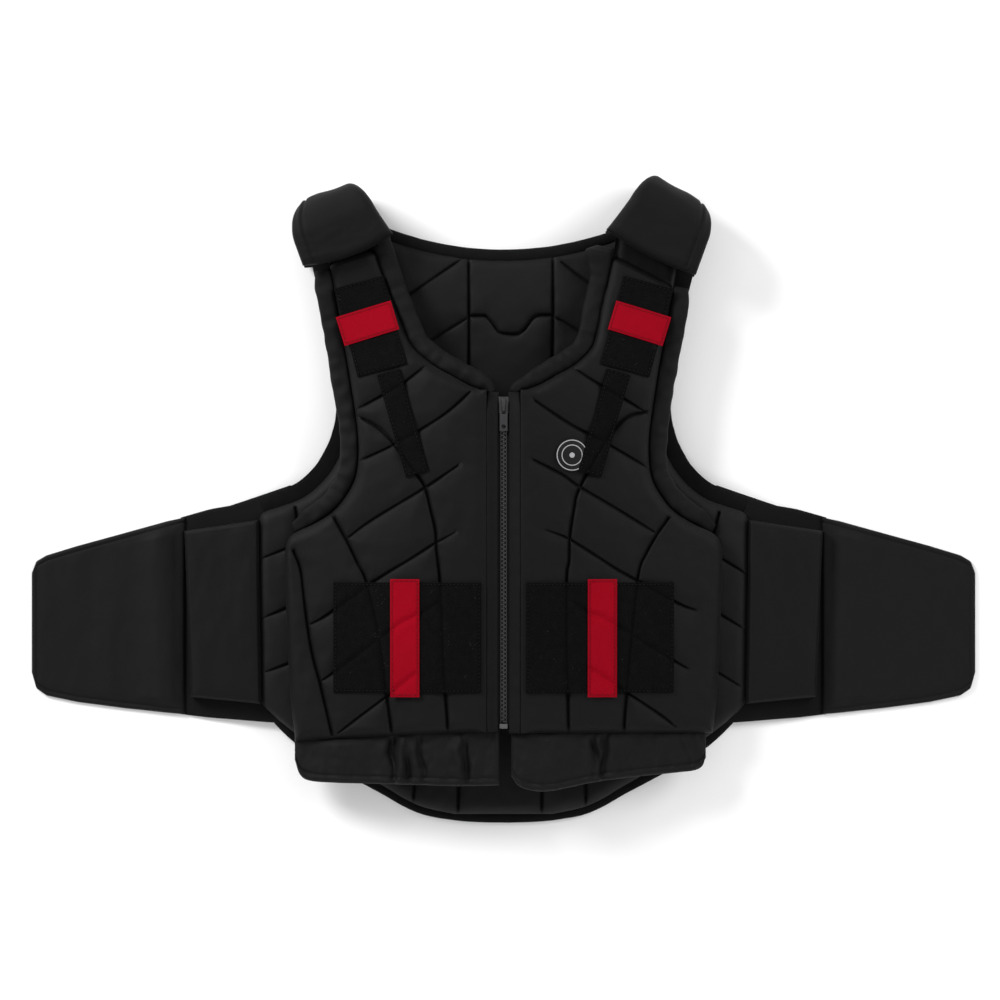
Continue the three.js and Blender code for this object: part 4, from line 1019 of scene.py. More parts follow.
# Where each band ends, and the shares of its width and height there. The wearer's left neck band rolls over
# toward the neck at its upper end, and both turn down beside the zip.
bandEnds = {
    "left": {
        "neck": 1.0, "arm": 0.935,
        "upperWide": [0.95, 1.55, 1.5, 1.25, 1.1], "upperTall": [0.45, 1.15, 1.15, 1.05, 1],
        "corner": [(18.5 * mm, 0.7525), (15.3 * mm, 0.7495), (14.3 * mm, 0.744)],
        "lowerWide": [0.97, 0.9, 0.78, 0.66, 0.6],
    },
    "right": {
        "neck": 1.03, "arm": 0.965, "upperWide": 5 * [1], "upperTall": 5 * [1],
        "corner": [(20 * mm, 0.752), (17.5 * mm, 0.7485), (16.5 * mm, 0.743)],
        "lowerWide": [1.0, 0.85, 0.62],
    },
}


def neckBand(side):
    ends = bandEnds[side]
    line = frontRun(neckRows[side], bands["neckFrom"], ends["neck"], body["frontHalf"])[::-1]
    line = np.vstack([line, [(x, float(alongY(share))) for x, share in ends["corner"]]])
    return carried("neckBand", line, roll(bands["neckWidth"], bands["neckThick"]), frontFloor,
                   pucker=bands["pucker"], puckerPitch=bands["puckerPitch"],
                   seed=1.5 if side == "left" else 11.5, seamShadeAt=0.0,
                   widths=ends["upperWide"] + 21 * [1] + ends["lowerWide"],
                   heights=ends["upperTall"] + 21 * [1] + [1.05, 1.1, 0.95])


def armholeBand(side):
    line = frontRun(frontRows, bands["armFrom"], bandEnds[side]["arm"], body["frontHalf"])
    return carried("armholeBand", line, roll(bands["armWidth"], bands["armThick"]), frontFloor,
                   pucker=bands["pucker"], puckerPitch=bands["puckerPitch"],
                   seed=2.5 if side == "left" else 12.5, seamShadeAt=0.0,
                   widths=[0.5, 0.95] + 14 * [1] + [0.8], heights=[0.35, 0.9] + 14 * [1] + [0.5])


pairOf(neckBand, "neck_band", "neckRoll", cloths["bandCloth"])
pairOf(armholeBand, "armhole_band", "armholeRoll", cloths["bandCloth"])

borders = {
    "from": 0.541,
    "to": 0.99,
    "width": 15 * mm,
    "thick": 3 * mm,
    "fullness": 0.6 * mm,
    "lift": 5 * mm,
    "seamShadeAt": 11 * mm,
    "pucker": 0.4 * mm,
    "puckerPitch": 9 * mm,
    "tailTo": 0.206,
    "tailWidth": 7 * mm,
    "tailThick": 6 * mm,
    "neckWidth": 9 * mm,
    "neckThick": 9 * mm,
    "neckPucker": 0.5 * mm,
    "tuck": -2.5 * mm,
}


def armholeBorder(side):
    half = body["backHalf"]
    share = [v for v in backRows["y"] if borders["from"] <= v <= borders["to"]]
    line = np.column_stack([half * np.interp(share, backRows["y"], backRows["x"]), alongY(share)])
    shape = roll(borders["width"], borders["thick"] + borders["fullness"], borders["lift"], borders["tuck"])
    return carried("armholeBorder", line, shape, backFloor, pucker=borders["pucker"],
                   puckerPitch=borders["puckerPitch"], seed=3.5, seamShadeAt=borders["seamShadeAt"],
                   widths=[0.9, 0.97] + 20 * [1])


pairOf(armholeBorder, "armhole_border", "armholeTrim", cloths["trimKnit"])


# The tail's middle bows a little past the rows' first point.
tailMiddle = {"x": [0, 0.1, 0.2], "y": [0.0096, 0.0104, 0.0137]}


def tailLine():
    half = body["backHalf"]
    share = [v for v in backRows["y"] if v <= borders["tailTo"]]
    x = half * np.interp(share, backRows["y"], backRows["x"])
    right = np.column_stack([x, alongY(share)])
    lowest, middle, right[0] = np.column_stack([half * np.array(tailMiddle["x"]), alongY(tailMiddle["y"])])
    return np.vstack([right[::-1] * [-1, 1], middle * [-1, 1], lowest, middle, right])


tailShape = roll(borders["tailWidth"], borders["tailThick"], start=borders["tuck"])
tail = carried("tailPiping", tailLine(), tailShape, lambda x, y: 0 * x, pucker=borders["pucker"], seed=4.5,
               widths=[0.45, 1.2, 1.2, 1, 1, 1, 1, 1, 1.2, 1.2, 0.45])
rideAndName(tail, "tail_binding", cloths["trimKnit"])
neckX = np.linspace(-1, 1, 21) * (neckOpening["half"] + neckOpening["over"])
backNeck = carried("backNeckPiping", np.column_stack([neckX, neckEdgeY(neckX)])[::-1],
                   roll(borders["neckWidth"], borders["neckThick"], start=borders["tuck"]), backFloor,
                   pucker=borders["neckPucker"], seed=5.5)
rideAndName(backNeck, "back_neck_binding", cloths["trimKnit"])
print("bands made")

# Wings: a thin panel, a foam pad on it and a soft flap at the end.
wings = {
    "start": body["backHalf"] + 0.6 * mm,
    "seam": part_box("wing_flap_left")[0][0],
    "end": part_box("wing_flap_left")[1][0],
    "seamShare": 0.345,
    "height": 0.208,
    "bottom": 0.178,
    "cloth": 3 * mm,
    "lift": 5 * mm,
}
wingPanelLook = {
    "grain": 3 * mm,
    "under": 30 * mm,
    "underReach": 45 * mm,
    "rim": 3 * mm,
    "wave": 0.8 * mm,
    "waveSize": 0.03,
    "calmEdge": 0.01,
    "thinReach": 12 * mm,
    "thinLeast": 0.35,
    "topFall": 0.4,
    "underFall": 0.2,
    "leastThick": 0.5 * mm,
    "seamShadeAt": 6 * mm,
}
wingPadLook = {
    "grain": 2 * mm,
    "foam": 14 * mm,
    "slant": 8.6 * mm,
    "slantLeast": 0.35,
    "rim": 3.6 * mm,
    "crown": 1.2 * mm,
    "crownReach": 0.02,
    "sway": 1.6 * mm,
    "swaySize": 0.04,
    "crease": 0.6 * mm,
    "creaseSize": 0.012,
    "calmEdge": 0.008,
    "topFall": 0.5,
    "underFall": 0.12,
}
wingFlapLook = {
    "grain": 2 * mm,
    "under": 4 * mm,
    "underReach": 12 * mm,
    "binding": 4.6 * mm,
    "hem": 0.7 * mm,
    "hemWidth": 1.1 * mm,
    "edgeLean": 0.93,
    "foldFrom": 20 * mm,
    "foldRise": 5.4 * mm,
    "foldWidth": 0.0135,
    "foldLean": 0.02,
    "sway": 1.6 * mm,
    "swaySize": 0.04,
    "crease": 0.65 * mm,
    "creaseSize": 0.013,
    "rest": 0.9 * mm,
    "restReach": 10 * mm,
    "liftReach": 0.012,
    "fullness": 0.8 * mm,
    "rim": 2.5 * mm,
    "topFall": 0.45,
    "underFall": 0.15,
    "follow": 0.8,
    "valleyShade": 0.35,
}
wingRows = {
    "x": [0, 0.086, 0.16, wings["seamShare"]],
    "low": [-0.02, -0.01, 0.0, 0.022],
    "high": [1.05, 1.0, 0.958, 0.905],
}
padRows = {"x": [0.0, 0.16, 0.333], "low": [0.07, 0.085, 0.1], "high": [0.895, 0.87, 0.845]}
flapRows = {
    "x": [wings["seamShare"], 0.6, 0.8, 0.935, 0.98, 1],
    "low": [0.022, 0.05, 0.077, 0.106, 0.138, 0.21],
    "high": [0.905, 0.833, 0.777, 0.735, 0.708, 0.655],
}


def wingX(share):
    seamShare = wings["seamShare"]
    seam = wings["seam"]
    share = np.asarray(share, float)
    near = wings["start"] + (seam - wings["start"]) * share / seamShare
    far = seam + (wings["end"] - seam) * (share - seamShare) / (1 - seamShare)
    return np.where(share <= seamShare, near, far)


def wingFloor(x):
    return wings["lift"] * np.clip((wings["seam"] - x) / (wings["seam"] - wings["start"]), 0, 1)


def wingGrid(rows, size):
    lowShare, highShare = rows["x"][0], rows["x"][-1]
    width = float(wingX(highShare) - wingX(lowShare))
    share = lowShare + (highShare - lowShare) * eased(int(width / size))
    base = float(alongY(wings["bottom"]))
    low = base + wings["height"] * np.interp(share, rows["x"], rows["low"])
    high = base + wings["height"] * np.interp(share, rows["x"], rows["high"])
    steps = eased(int(wings["height"] / size))
    x = np.repeat(wingX(share)[:, None], len(steps), axis=1)
    y = low[:, None] + (high - low)[:, None] * steps[None, :]
    return x, y, gridEdge(x, y)


# The panel's inner end runs on under the front.
def wingPanel(side):
    look = wingPanelLook
    cloth = wings["cloth"]
    x, y, edge = wingGrid(wingRows, look["grain"])
    edge[:, 0] -= look["under"] * np.clip(1 - (edge[:, 0] - wings["start"]) / look["underReach"], 0, 1)
    x = x - look["under"] * np.clip(1 - (x - wings["start"]) / look["underReach"], 0, 1)
    toEdge = distanceTo(x, y, [edge])
    fall = roundFall(toEdge, look["rim"])
    wave = look["wave"] * noiseAt(x, y, look["waveSize"], 21) * np.clip(toEdge / look["calmEdge"], 0, 1)
    thin = np.clip((wings["seam"] - x) / look["thinReach"], look["thinLeast"], 1)
    top = wingFloor(x) + thin * (cloth - look["topFall"] * fall * cloth + wave)
    under = wingFloor(x) + look["underFall"] * fall * cloth
    under = np.minimum(under, top - look["leastThick"])
    return layer("wingPanel", x, y, top, under, np.abs(toEdge - look["seamShadeAt"]))


# The pad leans inward toward its lower end.
def wingPad(side):
    look = wingPadLook
    x, y, edge = wingGrid(padRows, look["grain"])
    for placeX, placeY in ((x, y), (edge[:, 0], edge[:, 1])):
        outward = (placeX - wings["start"]) / (wings["seam"] - wings["start"])
        upward = (placeY - float(alongY(wings["bottom"]))) / wings["height"]
        placeX -= look["slant"] * (look["slantLeast"] + (1 - look["slantLeast"]) * outward) * (1 - upward)
    toEdge = distanceTo(x, y, [edge])
    base = wingFloor(x) + wings["cloth"] + body["gap"]
    fall = roundFall(toEdge, look["rim"])
    sway = noiseAt(x * 1.6, y * 0.5, look["swaySize"], 31) * look["sway"]
    sway = sway + noiseAt(x * 1.4, y * 0.6, look["creaseSize"], 33) * look["crease"]
    crown = look["crown"] * (1 - np.exp(-toEdge / look["crownReach"]))
    inside = np.clip(toEdge / look["calmEdge"], 0, 1)
    top = base + look["foam"] * (1 - look["topFall"] * fall) + (crown + sway) * inside
    under = base + look["underFall"] * fall * look["foam"]
    # The pad's rim is darkened: painted shade in the gap round its edge.
    return layer("wingPad", x, y, top, under, toEdge + 1 * mm)


# The flap is bound on its free edges, lies over the panel's end and is creased beside the pad.
def wingFlap(side):
    look = wingFlapLook
    seamX = wings["seam"]
    x, y, edge = wingGrid(flapRows, look["grain"])
    for placeX in (x, edge[:, 0]):
        placeX -= look["under"] * np.clip(1 - (placeX - seamX) / look["underReach"], 0, 1)
    toEdge = distanceTo(x, y, [edge])
    binding = look["binding"]
    base = float(alongY(wings["bottom"]))
    rowsX = wingX(flapRows["x"])
    fromLow = y - base - wings["height"] * np.interp(x, rowsX, flapRows["low"])
    fromHigh = base + wings["height"] * np.interp(x, rowsX, flapRows["high"]) - y
    toFree = np.minimum(np.minimum(fromLow, fromHigh) * look["edgeLean"], wings["end"] - x)
    toFree = np.clip(toFree, 0, 1)
    hem = look["hem"] * np.exp(-(((toFree - binding) / look["hemWidth"]) ** 2))
    puff = look["hem"] * np.clip(1 - ((toFree - 0.45 * binding) / (0.55 * binding)) ** 2, 0, 1)
    foldAt = seamX + look["foldFrom"]
    slant = look["foldLean"] * (y + 0.1)
    fold = look["foldRise"] * np.exp(-(((x - foldAt - slant) / look["foldWidth"]) ** 2))
    sway = noiseAt(x * 1.8, y * 0.4, look["swaySize"], 41) * look["sway"]
    sway = sway + noiseAt(x * 1.5, y * 0.6, look["creaseSize"], 43) * look["crease"]
    thick = wings["cloth"] + look["fullness"]
    laidOver = look["rest"] * (1 - smoothstep(x, seamX, seamX + look["restReach"]))
    inside = np.clip(np.minimum(toFree, x - seamX + look["under"]) / look["liftReach"], 0, 1)
    lift = inside * (fold + np.clip(sway + look["rest"], 0, 1)) + laidOver
    fall = roundFall(toEdge, look["rim"])
    top = thick * (1 - look["topFall"] * fall) - hem + puff + lift
    under = look["underFall"] * fall * thick + look["follow"] * lift
    under = np.maximum(np.minimum(under, top - look["fullness"]), 0)
    # Painted shade: the flap darkens toward the pad, in the valley beside it, and in the dip of its binding's stitch
    # line.
    shadeBesidePad = look["valleyShade"] * (x - seamX + look["under"]) + 0.3 * mm
    seam = np.minimum(np.abs(toFree - binding) + 0.5 * mm, shadeBesidePad)
    return layer("wingFlap", x, y, top, under, seam)


pairOf(wingPanel, "wing_panel", "wingBase", cloths["wingMesh"])
pairOf(wingPad, "wing_pad", "wingPad", cloths["shellCloth"])
pairOf(wingFlap, "wing_flap", "wingFlap", cloths["flapCloth"])
print("wings made")

# Soft gathered flaps under the front panels.
flaps = {
    "columns": 200,
    "rows": 40,
    "depth": 46 * mm,
    "cloth": 6 * mm,
    "lift": 4 * mm,
    "under": 3 * mm,
    "gatheredFrom": 0.22,
    "foldRise": 1.7,
    "foldLean": 4 * mm,
    "foldStray": 5 * mm,
    "straySize": 0.02,
    "softSize": 0.02,
    "fineSize": 0.008,
    "sharpSize": 0.028,
    "patchSize": 0.05,
    "hemLine": 7 * mm,
    "hem": 1.2 * mm,
    "hemWidth": 1.2 * mm,
    "roll": 0.7 * mm,
    "rim": 4 * mm,
    "topFall": 0.5,
    "underFall": 0.3,
    "leastThick": 1 * mm,
    # How deep a fold's valley is before it is painted fully dark, and how far that painted shade reaches.
    "valleyShadeDepth": 2.2 * mm,
    "valleyShadeWidth": 2.4 * mm,
}
hemRows = {
    "right": {"x": [0.02, 0.2, 0.5, 0.75, 0.88, 0.93, 0.955], "drop": [0.98, 1, 0.97, 0.95, 0.92, 0.8, 0.5]},
    "left": {"x": [0.035, 0.08, 0.2, 0.45, 0.75, 0.89, 0.925], "drop": [0.8, 1.02, 1.1, 0.9, 0.76, 0.68, 0.45]},
}
# Each fold: its place as a share of the half width, its width and its rise, both in millimetres.
hemFolds = {
    "right": [(0.17, 5, -2.2), (0.2, 6, 2.2), (0.375, 4.5, -1.8), (0.4, 6, 1.2), (0.44, 4.5, -2.4),
              (0.468, 5.5, 2.4), (0.502, 5, -2.4), (0.54, 9, 1.6), (0.74, 30, 2.4)],
    "left": [(0.2, 30, 1.8), (0.385, 7, 1.4), (0.41, 5, -2.6), (0.432, 5, 2.4), (0.457, 4.5, -2.4),
             (0.49, 9, 1.8), (0.8, 28, 2.0)],
}


def hemFlap(side):
    rows = hemRows[side]
    half = body["frontHalf"]
    curve = smoothCurve(np.column_stack([rows["x"], rows["drop"]]), 0.01)
    share = rows["x"][0] + (rows["x"][-1] - rows["x"][0]) * eased(flaps["columns"], 0.5)
    drop = np.interp(share, curve[:, 0], curve[:, 1]) * flaps["depth"] + flaps["under"]
    sewn = (alongY(hemShareAt(side, share * half)) + flaps["under"])[:, None]
    lowest = float(alongY(frontRows["y"][0])) - (drop - flaps["under"])[:, None]
    steps = eased(flaps["rows"], 0.5)
    x = np.repeat((share * half)[:, None], len(steps), axis=1)
    y = sewn - (sewn - lowest) * (1 - steps[None, :])
    toEdge = distanceTo(x, y, [gridEdge(x, y)])
    down = (sewn - y) / flaps["depth"]
    fade = smoothstep(down, 0, flaps["gatheredFrom"])
    gather = np.zeros_like(x)
    for at, width, rise in hemFolds[side]:
        lean = flaps["foldLean"] * (down - 0.5) * (1 if rise > 0 else -0.6)
        foldX = at * half + lean + flaps["foldStray"] * noiseAt(0 * y, y, flaps["straySize"], at * 50)
        deep = np.clip(1.05 + 0.9 * noiseAt(x * 0.3, y, flaps["straySize"], at * 90), 0.2, 1.4)
        gather += flaps["foldRise"] * rise * mm * fade * deep * np.exp(-2 * ((x - foldX) / (width * mm)) ** 2)
    seed = 51 if side == "left" else 57
    soft = 1.6 * noiseAt(x * 1.6, y * 0.5, flaps["softSize"], seed)
    soft = soft + 0.7 * noiseAt(x * 1.6, y, flaps["fineSize"], seed + 2)
    ridges = np.abs(noiseAt(x * 1.5 + 0.4 * y, y * 0.45, flaps["sharpSize"], seed + 5))
    sharp = 1.5 - 4.5 * np.minimum(ridges, 0.33)
    patches = np.clip(0.3 + 1.6 * noiseAt(x, y, flaps["patchSize"], seed + 9), 0, 1)
    creases = fade * mm * (soft + 1.5 * sharp * patches)
    hemLine = flaps["hemLine"]
    low = y - lowest
    hem = flaps["hem"] * np.exp(-(((low - hemLine) / flaps["hemWidth"]) ** 2))
    roundUp = flaps["roll"] * np.clip(1 - ((low - 0.5 * hemLine) / (0.5 * hemLine)) ** 2, 0, 1)
    base = frontFloor(x, y) + flaps["lift"]
    fall = roundFall(toEdge, flaps["rim"])
    top = base + flaps["cloth"] * (1 - flaps["topFall"] * fall) + gather + creases - hem + roundUp
    under = base + flaps["underFall"] * fall * flaps["cloth"] + 0.8 * gather + 0.5 * creases
    under = np.minimum(under, top - flaps["leastThick"])
    # Painted shade: the cloth is darkened in the folds' valleys, in the dip of the hem's stitch line and where the
    # flap tucks under the panel.
    valleyShade = np.clip(-(gather + 0.6 * creases - 0.3 * mm) / flaps["valleyShadeDepth"], 0, 1)
    sewnShade = np.minimum(np.abs(low - hemLine) + 0.4 * mm, sewn - y + 0.0016)
    seam = np.minimum(sewnShade, flaps["valleyShadeWidth"] * (1 - valleyShade))
    obj = layer("hemFlap", x, y, top, under, seam)
    obj.name = f"hemFlap_{side}"
    if side == "right":
        mirrorMesh(obj)
    return rideAndName(obj, f"hem_flap_{side}", cloths["flapCloth"])


for side in ("left", "right"):
    hemFlap(side)
print("hem flaps made")

# Shoulder caps and the straps inside them, folded over the shoulders.
caps = {
    "x": 140 * mm,
    "y": 0.985,
    "tilt": math.radians(20),
    "sideSeam": 11 * mm,
    "seamDip": 1.9 * mm,
    "seamWidth": 1.4 * mm,
    "sideDrop": 2.2 * mm,
    "sideReach": 9 * mm,
    "neckReach": 14 * mm,
    "neckCut": 8 * mm,
    "lean": 12 * mm,
    "bowHalf": 42 * mm,
    "strapWidth": 50 * mm,
    "strapLeaf": 34 * mm,
    "strapTuck": 8 * mm,
    "strapRoom": 4 * mm,
}
# How each of the two is folded: its thickness, edges, grain and wrinkles.
capPad = {
    "thick": 15 * mm, "rim": 9 * mm, "fallShare": 0.6, "grain": 1.8 * mm, "wrinkle": 1.5 * mm, "seed": 61,
    "padded": True,
}
strapWeb = {
    "thick": 2.5 * mm, "rim": 2 * mm, "fallShare": 0.3, "grain": 3 * mm, "wrinkle": 0.0, "seed": 63,
    "padded": False,
}
capForms = {
    "left": {
        "arm": 41 * mm, "neckLow": 51 * mm, "neckHigh": 35 * mm, "leaf": 37 * mm, "slant": 0.2,
        "armCut": 10 * mm, "armReach": 17 * mm, "lowSlope": -0.1, "lowBow": 3.5 * mm, "low": -2.5 * mm,
    },
    "right": {
        "arm": 45.5 * mm, "neckLow": 43 * mm, "neckHigh": 32 * mm, "leaf": 33 * mm, "slant": 0.02,
        "armCut": 17 * mm, "armReach": 22 * mm, "lowSlope": 0.0, "lowBow": 6 * mm, "low": 0.5 * mm,
    },
}
stackHigh = body["shoulderRise"] + 2 * body["shoulderFoam"] + body["gap"] + body["slot"]


# A piece folded round the stack of panels from low to high. halfAt gives its two sides at each height, and its
# flat ends run from tuck to leaf.
def foldedOver(name, form, look, leaf, tuck, low, high, halfAt):
    thick, rim, size, seed = look["thick"], look["rim"], look["grain"], look["seed"]
    middle, radius = (low + high) / 2, (high - low) / 2
    flat = leaf - tuck
    arc = math.pi * radius
    total = 2 * flat + arc
    route = total * eased(int((total + math.pi * thick) / size), 0.6)
    turn = np.clip((route - flat) / radius, 0, math.pi)
    along = tuck + np.minimum(route, flat) - np.maximum(route - flat - arc, 0)
    coreY = along + radius * np.sin(turn)
    coreZ = middle + radius * np.cos(turn)
    normalY, normalZ = np.sin(turn), np.cos(turn)
    left, right = halfAt(coreY)
    across = eased(int((right - left).max() / size), 0.6)
    x = left[:, None] + (right - left)[:, None] * across[None, :]
    ends = np.minimum(route, total - route)[:, None] * np.ones_like(x)
    sides = np.minimum(x - left[:, None], right[:, None] - x)
    fall = 1 - (1 - roundFall(ends, rim)) * (1 - roundFall(sides, rim))
    spread = route[:, None] * np.ones_like(x)
    fine = noiseAt(x * 0.6, spread * 1.6, 0.011, seed + 2)
    bumps = look["wrinkle"] * (noiseAt(x, spread, 0.03, seed) + 0.45 * fine)
    inside = np.clip(np.minimum(ends, sides) / (0.6 * rim), 0, 1)
    fromSide = right[:, None] - x - caps["sideSeam"]
    seamIn = np.exp(-((fromSide / caps["seamWidth"]) ** 2)) * look["padded"]
    sideDrop = caps["sideDrop"] * smoothstep(-fromSide, 0, caps["sideReach"]) * look["padded"]
    dips = (caps["seamDip"] * seamIn + sideDrop) * inside
    out = thick * (1 - look["fallShare"] * fall) + bumps * inside - dips
    tuckIn = 0.18 * thick * fall

    def placed(distance):
        py = coreY[:, None] + distance * normalY[:, None]
        pz = coreZ[:, None] + distance * normalZ[:, None]
        upward = np.clip(coreY[:, None] / (form["leaf"] + radius), 0, 1)
        bottom = form["lowSlope"] * x + form["lowBow"] * (x / caps["bowHalf"]) ** 2 + form["low"]
        py = py - form["slant"] * (x + caps["lean"]) * upward + bottom * (1 - upward) ** 2
        return np.stack([x, py, pz], axis=-1)

    uv = np.stack([x, spread], axis=-1)
    # Painted shade: darker at the piece's edges, where it lifts off the panel below, and in the dip of the cap's
    # side seam.
    rimAndSeamShade = np.minimum(np.minimum(ends, sides) + 0.0008, 0.003 * (1.15 - seamIn))
    obj = shell(name, placed(out), placed(tuckIn), uv, rimAndSeamShade)
    turnBack = Matrix.Rotation(-caps["tilt"], 4, "Z")
    obj.data.transform(Matrix.Translation((caps["x"], float(alongY(caps["y"])), 0)) @ turnBack)
    return obj


# How far a rounded corner takes a side in toward the top.
def cornerCut(y, top, radius, depth):
    along = np.clip((y - top + radius) / radius, 0, 1)
    return depth * (1 - np.sqrt(1 - along**2))


# The cap's sides, the neck's first, as it narrows to its rounded fold.
def capSides(form, y):
    top = form["leaf"] + body["shoulderRise"] + 1 * mm
    narrow = (form["neckLow"] - form["neckHigh"]) * np.clip(y / top, 0, 1)
    neckSide = -form["neckLow"] + narrow + cornerCut(y, top, caps["neckReach"], caps["neckCut"])
    return neckSide, form["arm"] - cornerCut(y, top, form["armReach"], form["armCut"])


def shoulderCap(side):
    form = capForms[side]
    high = stackHigh + strapWeb["thick"] + 2 * body["gap"]
    return foldedOver("shoulderCap", form, capPad, form["leaf"], 0, capPad["thick"], high,
                      lambda y: capSides(form, y))


def shoulderStrap(side):
    form = capForms[side]

    def halfAt(y):
        left, right = capSides(form, y)
        half = caps["strapWidth"] / 2
        return np.maximum(-half, left + caps["strapRoom"]), np.minimum(half, right - caps["strapRoom"])

    leaf = min(form["leaf"], caps["strapLeaf"])
    low = capPad["thick"] + body["gap"] + strapWeb["thick"]
    return foldedOver("shoulderStrap", form, strapWeb, leaf, caps["strapTuck"], low, stackHigh + body["gap"], halfAt)


pairOf(shoulderCap, "shoulder_cap", "shoulderPad", cloths["bandCloth"])


def strapSheet(obj, side):
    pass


pairOf(shoulderStrap, "shoulder_strap", "shoulderWebbing", cloths["trimKnit"], asSheet=strapSheet)
print("shoulders made")

# Loop tapes and red ribbons, sewn on over the quilting. Widths, heights and x are in millimetres, y is a share
# of the body's length, and lean is in degrees.
tapes = {
    "chest_loop_tape": {"width": 137, "height": 102, "x": 89, "y": 0.324, "lean": 0},
    "shoulder_loop_tape": {"width": 47, "height": 85, "x": 123, "y": 0.864, "lean": 15},
    "narrow_tape": {"width": 22, "height": 98, "x": 93, "y": 0.696, "lean": 16},
    "chest_marker": {"width": 27, "height": 109, "x": 91, "y": 0.323, "lean": 0},
    "shoulder_marker": {"width": 53, "height": 28, "x": 125.5, "y": 0.869, "lean": 17},
}
tapeLook = {
    "grain": 1.1 * mm,
    "loopThick": 1.8 * mm,
    "ribbonThick": 0.8 * mm,
    "seat": 0.6 * mm,
    "imprint": 2.0 * mm,
    "imprintWidth": 3 * mm,
    "sway": 0.5 * mm,
    "swaySize": 0.03,
    "bump": 0.2 * mm,
    "bumpSize": 0.01,
    "calmEdge": 4 * mm,
    "sewnIn": 2 * mm,
    "sewnDip": 0.35 * mm,
    "sewnWidth": 0.8 * mm,
    "rim": 1 * mm,
}


def tapePatch(kind, side, thick, above):
    size, look = tapes[kind], tapeLook
    turn = -math.radians(size["lean"])
    center = np.array([size["x"] * mm, float(alongY(size["y"]))])
    wide, high = size["width"] * mm, size["height"] * mm
    u = np.linspace(-wide / 2, wide / 2, int(wide / look["grain"]) + 2)
    v = np.linspace(-high / 2, high / 2, int(high / look["grain"]) + 2)
    gridU, gridV = np.meshgrid(u, v)
    x = center[0] + gridU * math.cos(turn) - gridV * math.sin(turn)
    y = center[1] + gridU * math.sin(turn) + gridV * math.cos(turn)
    toLine = toSewn(x, y, sewnLines(frontGrooves[side], body["frontHalf"]))
    sink = look["imprint"] * np.exp(-((toLine / look["imprintWidth"]) ** 2))
    seed = 71 + size["x"]
    sway = look["sway"] * noiseAt(x, y, look["swaySize"], seed)
    sway = sway + look["bump"] * noiseAt(x, y, look["bumpSize"], seed + 1)
    toEdge = np.minimum(wide / 2 - np.abs(gridU), high / 2 - np.abs(gridV))
    inside = np.clip(toEdge / look["calmEdge"], 0, 1)
    sewn = look["sewnDip"] * np.exp(-(((toEdge - look["sewnIn"]) / look["sewnWidth"]) ** 2))
    base = frontTop(x, y) + above
    top = base + thick - sink * inside + sway * inside - sewn - 0.3 * thick * roundFall(toEdge, look["rim"])
    under = np.minimum(base, top - 0.6 * thick)
    # Painted shade: darker along the stitch line inside the tape's edge and where it sinks into the grooves below.
    seam = np.minimum(np.abs(toEdge - look["sewnIn"]), 0.8 * toLine)
    return layer(kind, x, y, top, under, seam, (gridU, gridV))


def tapePair(kind, slotName, material, thick, above):
    for side in ("left", "right"):
        obj = tapePatch(kind, side, thick, above)
        obj.name = f"{'tape' if slotName == 'loop' else 'ribbon'}_{kind}_{side}"
        if side == "right":
            mirrorMesh(obj)
        rideAndName(obj, f"{kind}_{side}", material)


ribbonSeat = tapeLook["loopThick"] + 2 * tapeLook["seat"]
for kind in ("chest_loop_tape", "shoulder_loop_tape", "narrow_tape"):
    tapePair(kind, "loop", loopPile, tapeLook["loopThick"], tapeLook["seat"])
for kind in ("chest_marker", "shoulder_marker"):
    tapePair(kind, "marker", cloths["ribbon"], tapeLook["ribbonThick"], ribbonSeat)
print("tapes made")

# The zip: two tapes, cloth strips beside them, teeth, slider, pull and stop.
zipSize = {
    "top": 0.741,
    "length": 0.306,
    "sink": 10 * mm,
    "pitch": 3.8 * mm,
    "chain": 5.8 * mm,
    "thick": 2.4 * mm,
    "sliderLength": 15 * mm,
    "sliderWidth": 9 * mm,
    "stopLength": 4.6 * mm,
    "room": 0.3 * mm,
    "tapeHalf": 0.6 * mm,
    "tapeBelow": 3 * mm,
    "tapeToSlider": 1 * mm,
    "placketAbove": 4.5 * mm,
}
zipTopY = float(alongY(zipSize["top"]))
zipBottomY = zipTopY - zipSize["length"]


def zipLevel(x, y):
    return frontTop(0 * np.asarray(x, float), y) - zipSize["sink"]


def straightLine(low, high, count=40):
    return np.column_stack([np.zeros(count), np.linspace(low, high, count)])


placket = {"low": 1.2 * mm, "lip": 3.4 * mm, "shoulder": 4.8 * mm, "flat": 5.4 * mm, "rise": 2.6 * mm, "outer": 7.2 * mm,
           "pucker": 0.4 * mm, "puckerPitch": 11 * mm}


# The cloth strip beside the zip rises from the teeth toward the foam and ends just above the slider.
def placketStrip(side):
    inner, outer = zipSize["sliderWidth"] / 2 + zipSize["room"], body["zipSewn"] + zipSize["room"]
    wide = outer - inner
    shape = [(inner, placket["low"]), (inner, placket["lip"]), (inner + 0.06 * wide, placket["shoulder"])]
    for t in np.linspace(0.14, 0.93, 14):
        shape.append((inner + wide * t, placket["flat"] + placket["rise"] * float(smoothstep(t, 0.2, 0.95))))
    shape += [(outer, placket["outer"]), (outer, placket["low"])]
    low = float(alongY(hemShareAt(side, body["zipEdge"])))
    run = straightLine(low, zipTopY + zipSize["placketAbove"])
    return carried("placketStrip", run, shape, zipLevel, pucker=placket["pucker"],
                   puckerPitch=placket["puckerPitch"], seed=6.5, seamShadeAt=outer, widths=24 * [1] + [0.9],
                   heights=[0.9] + 30 * [1] + [0.75, 0.2])


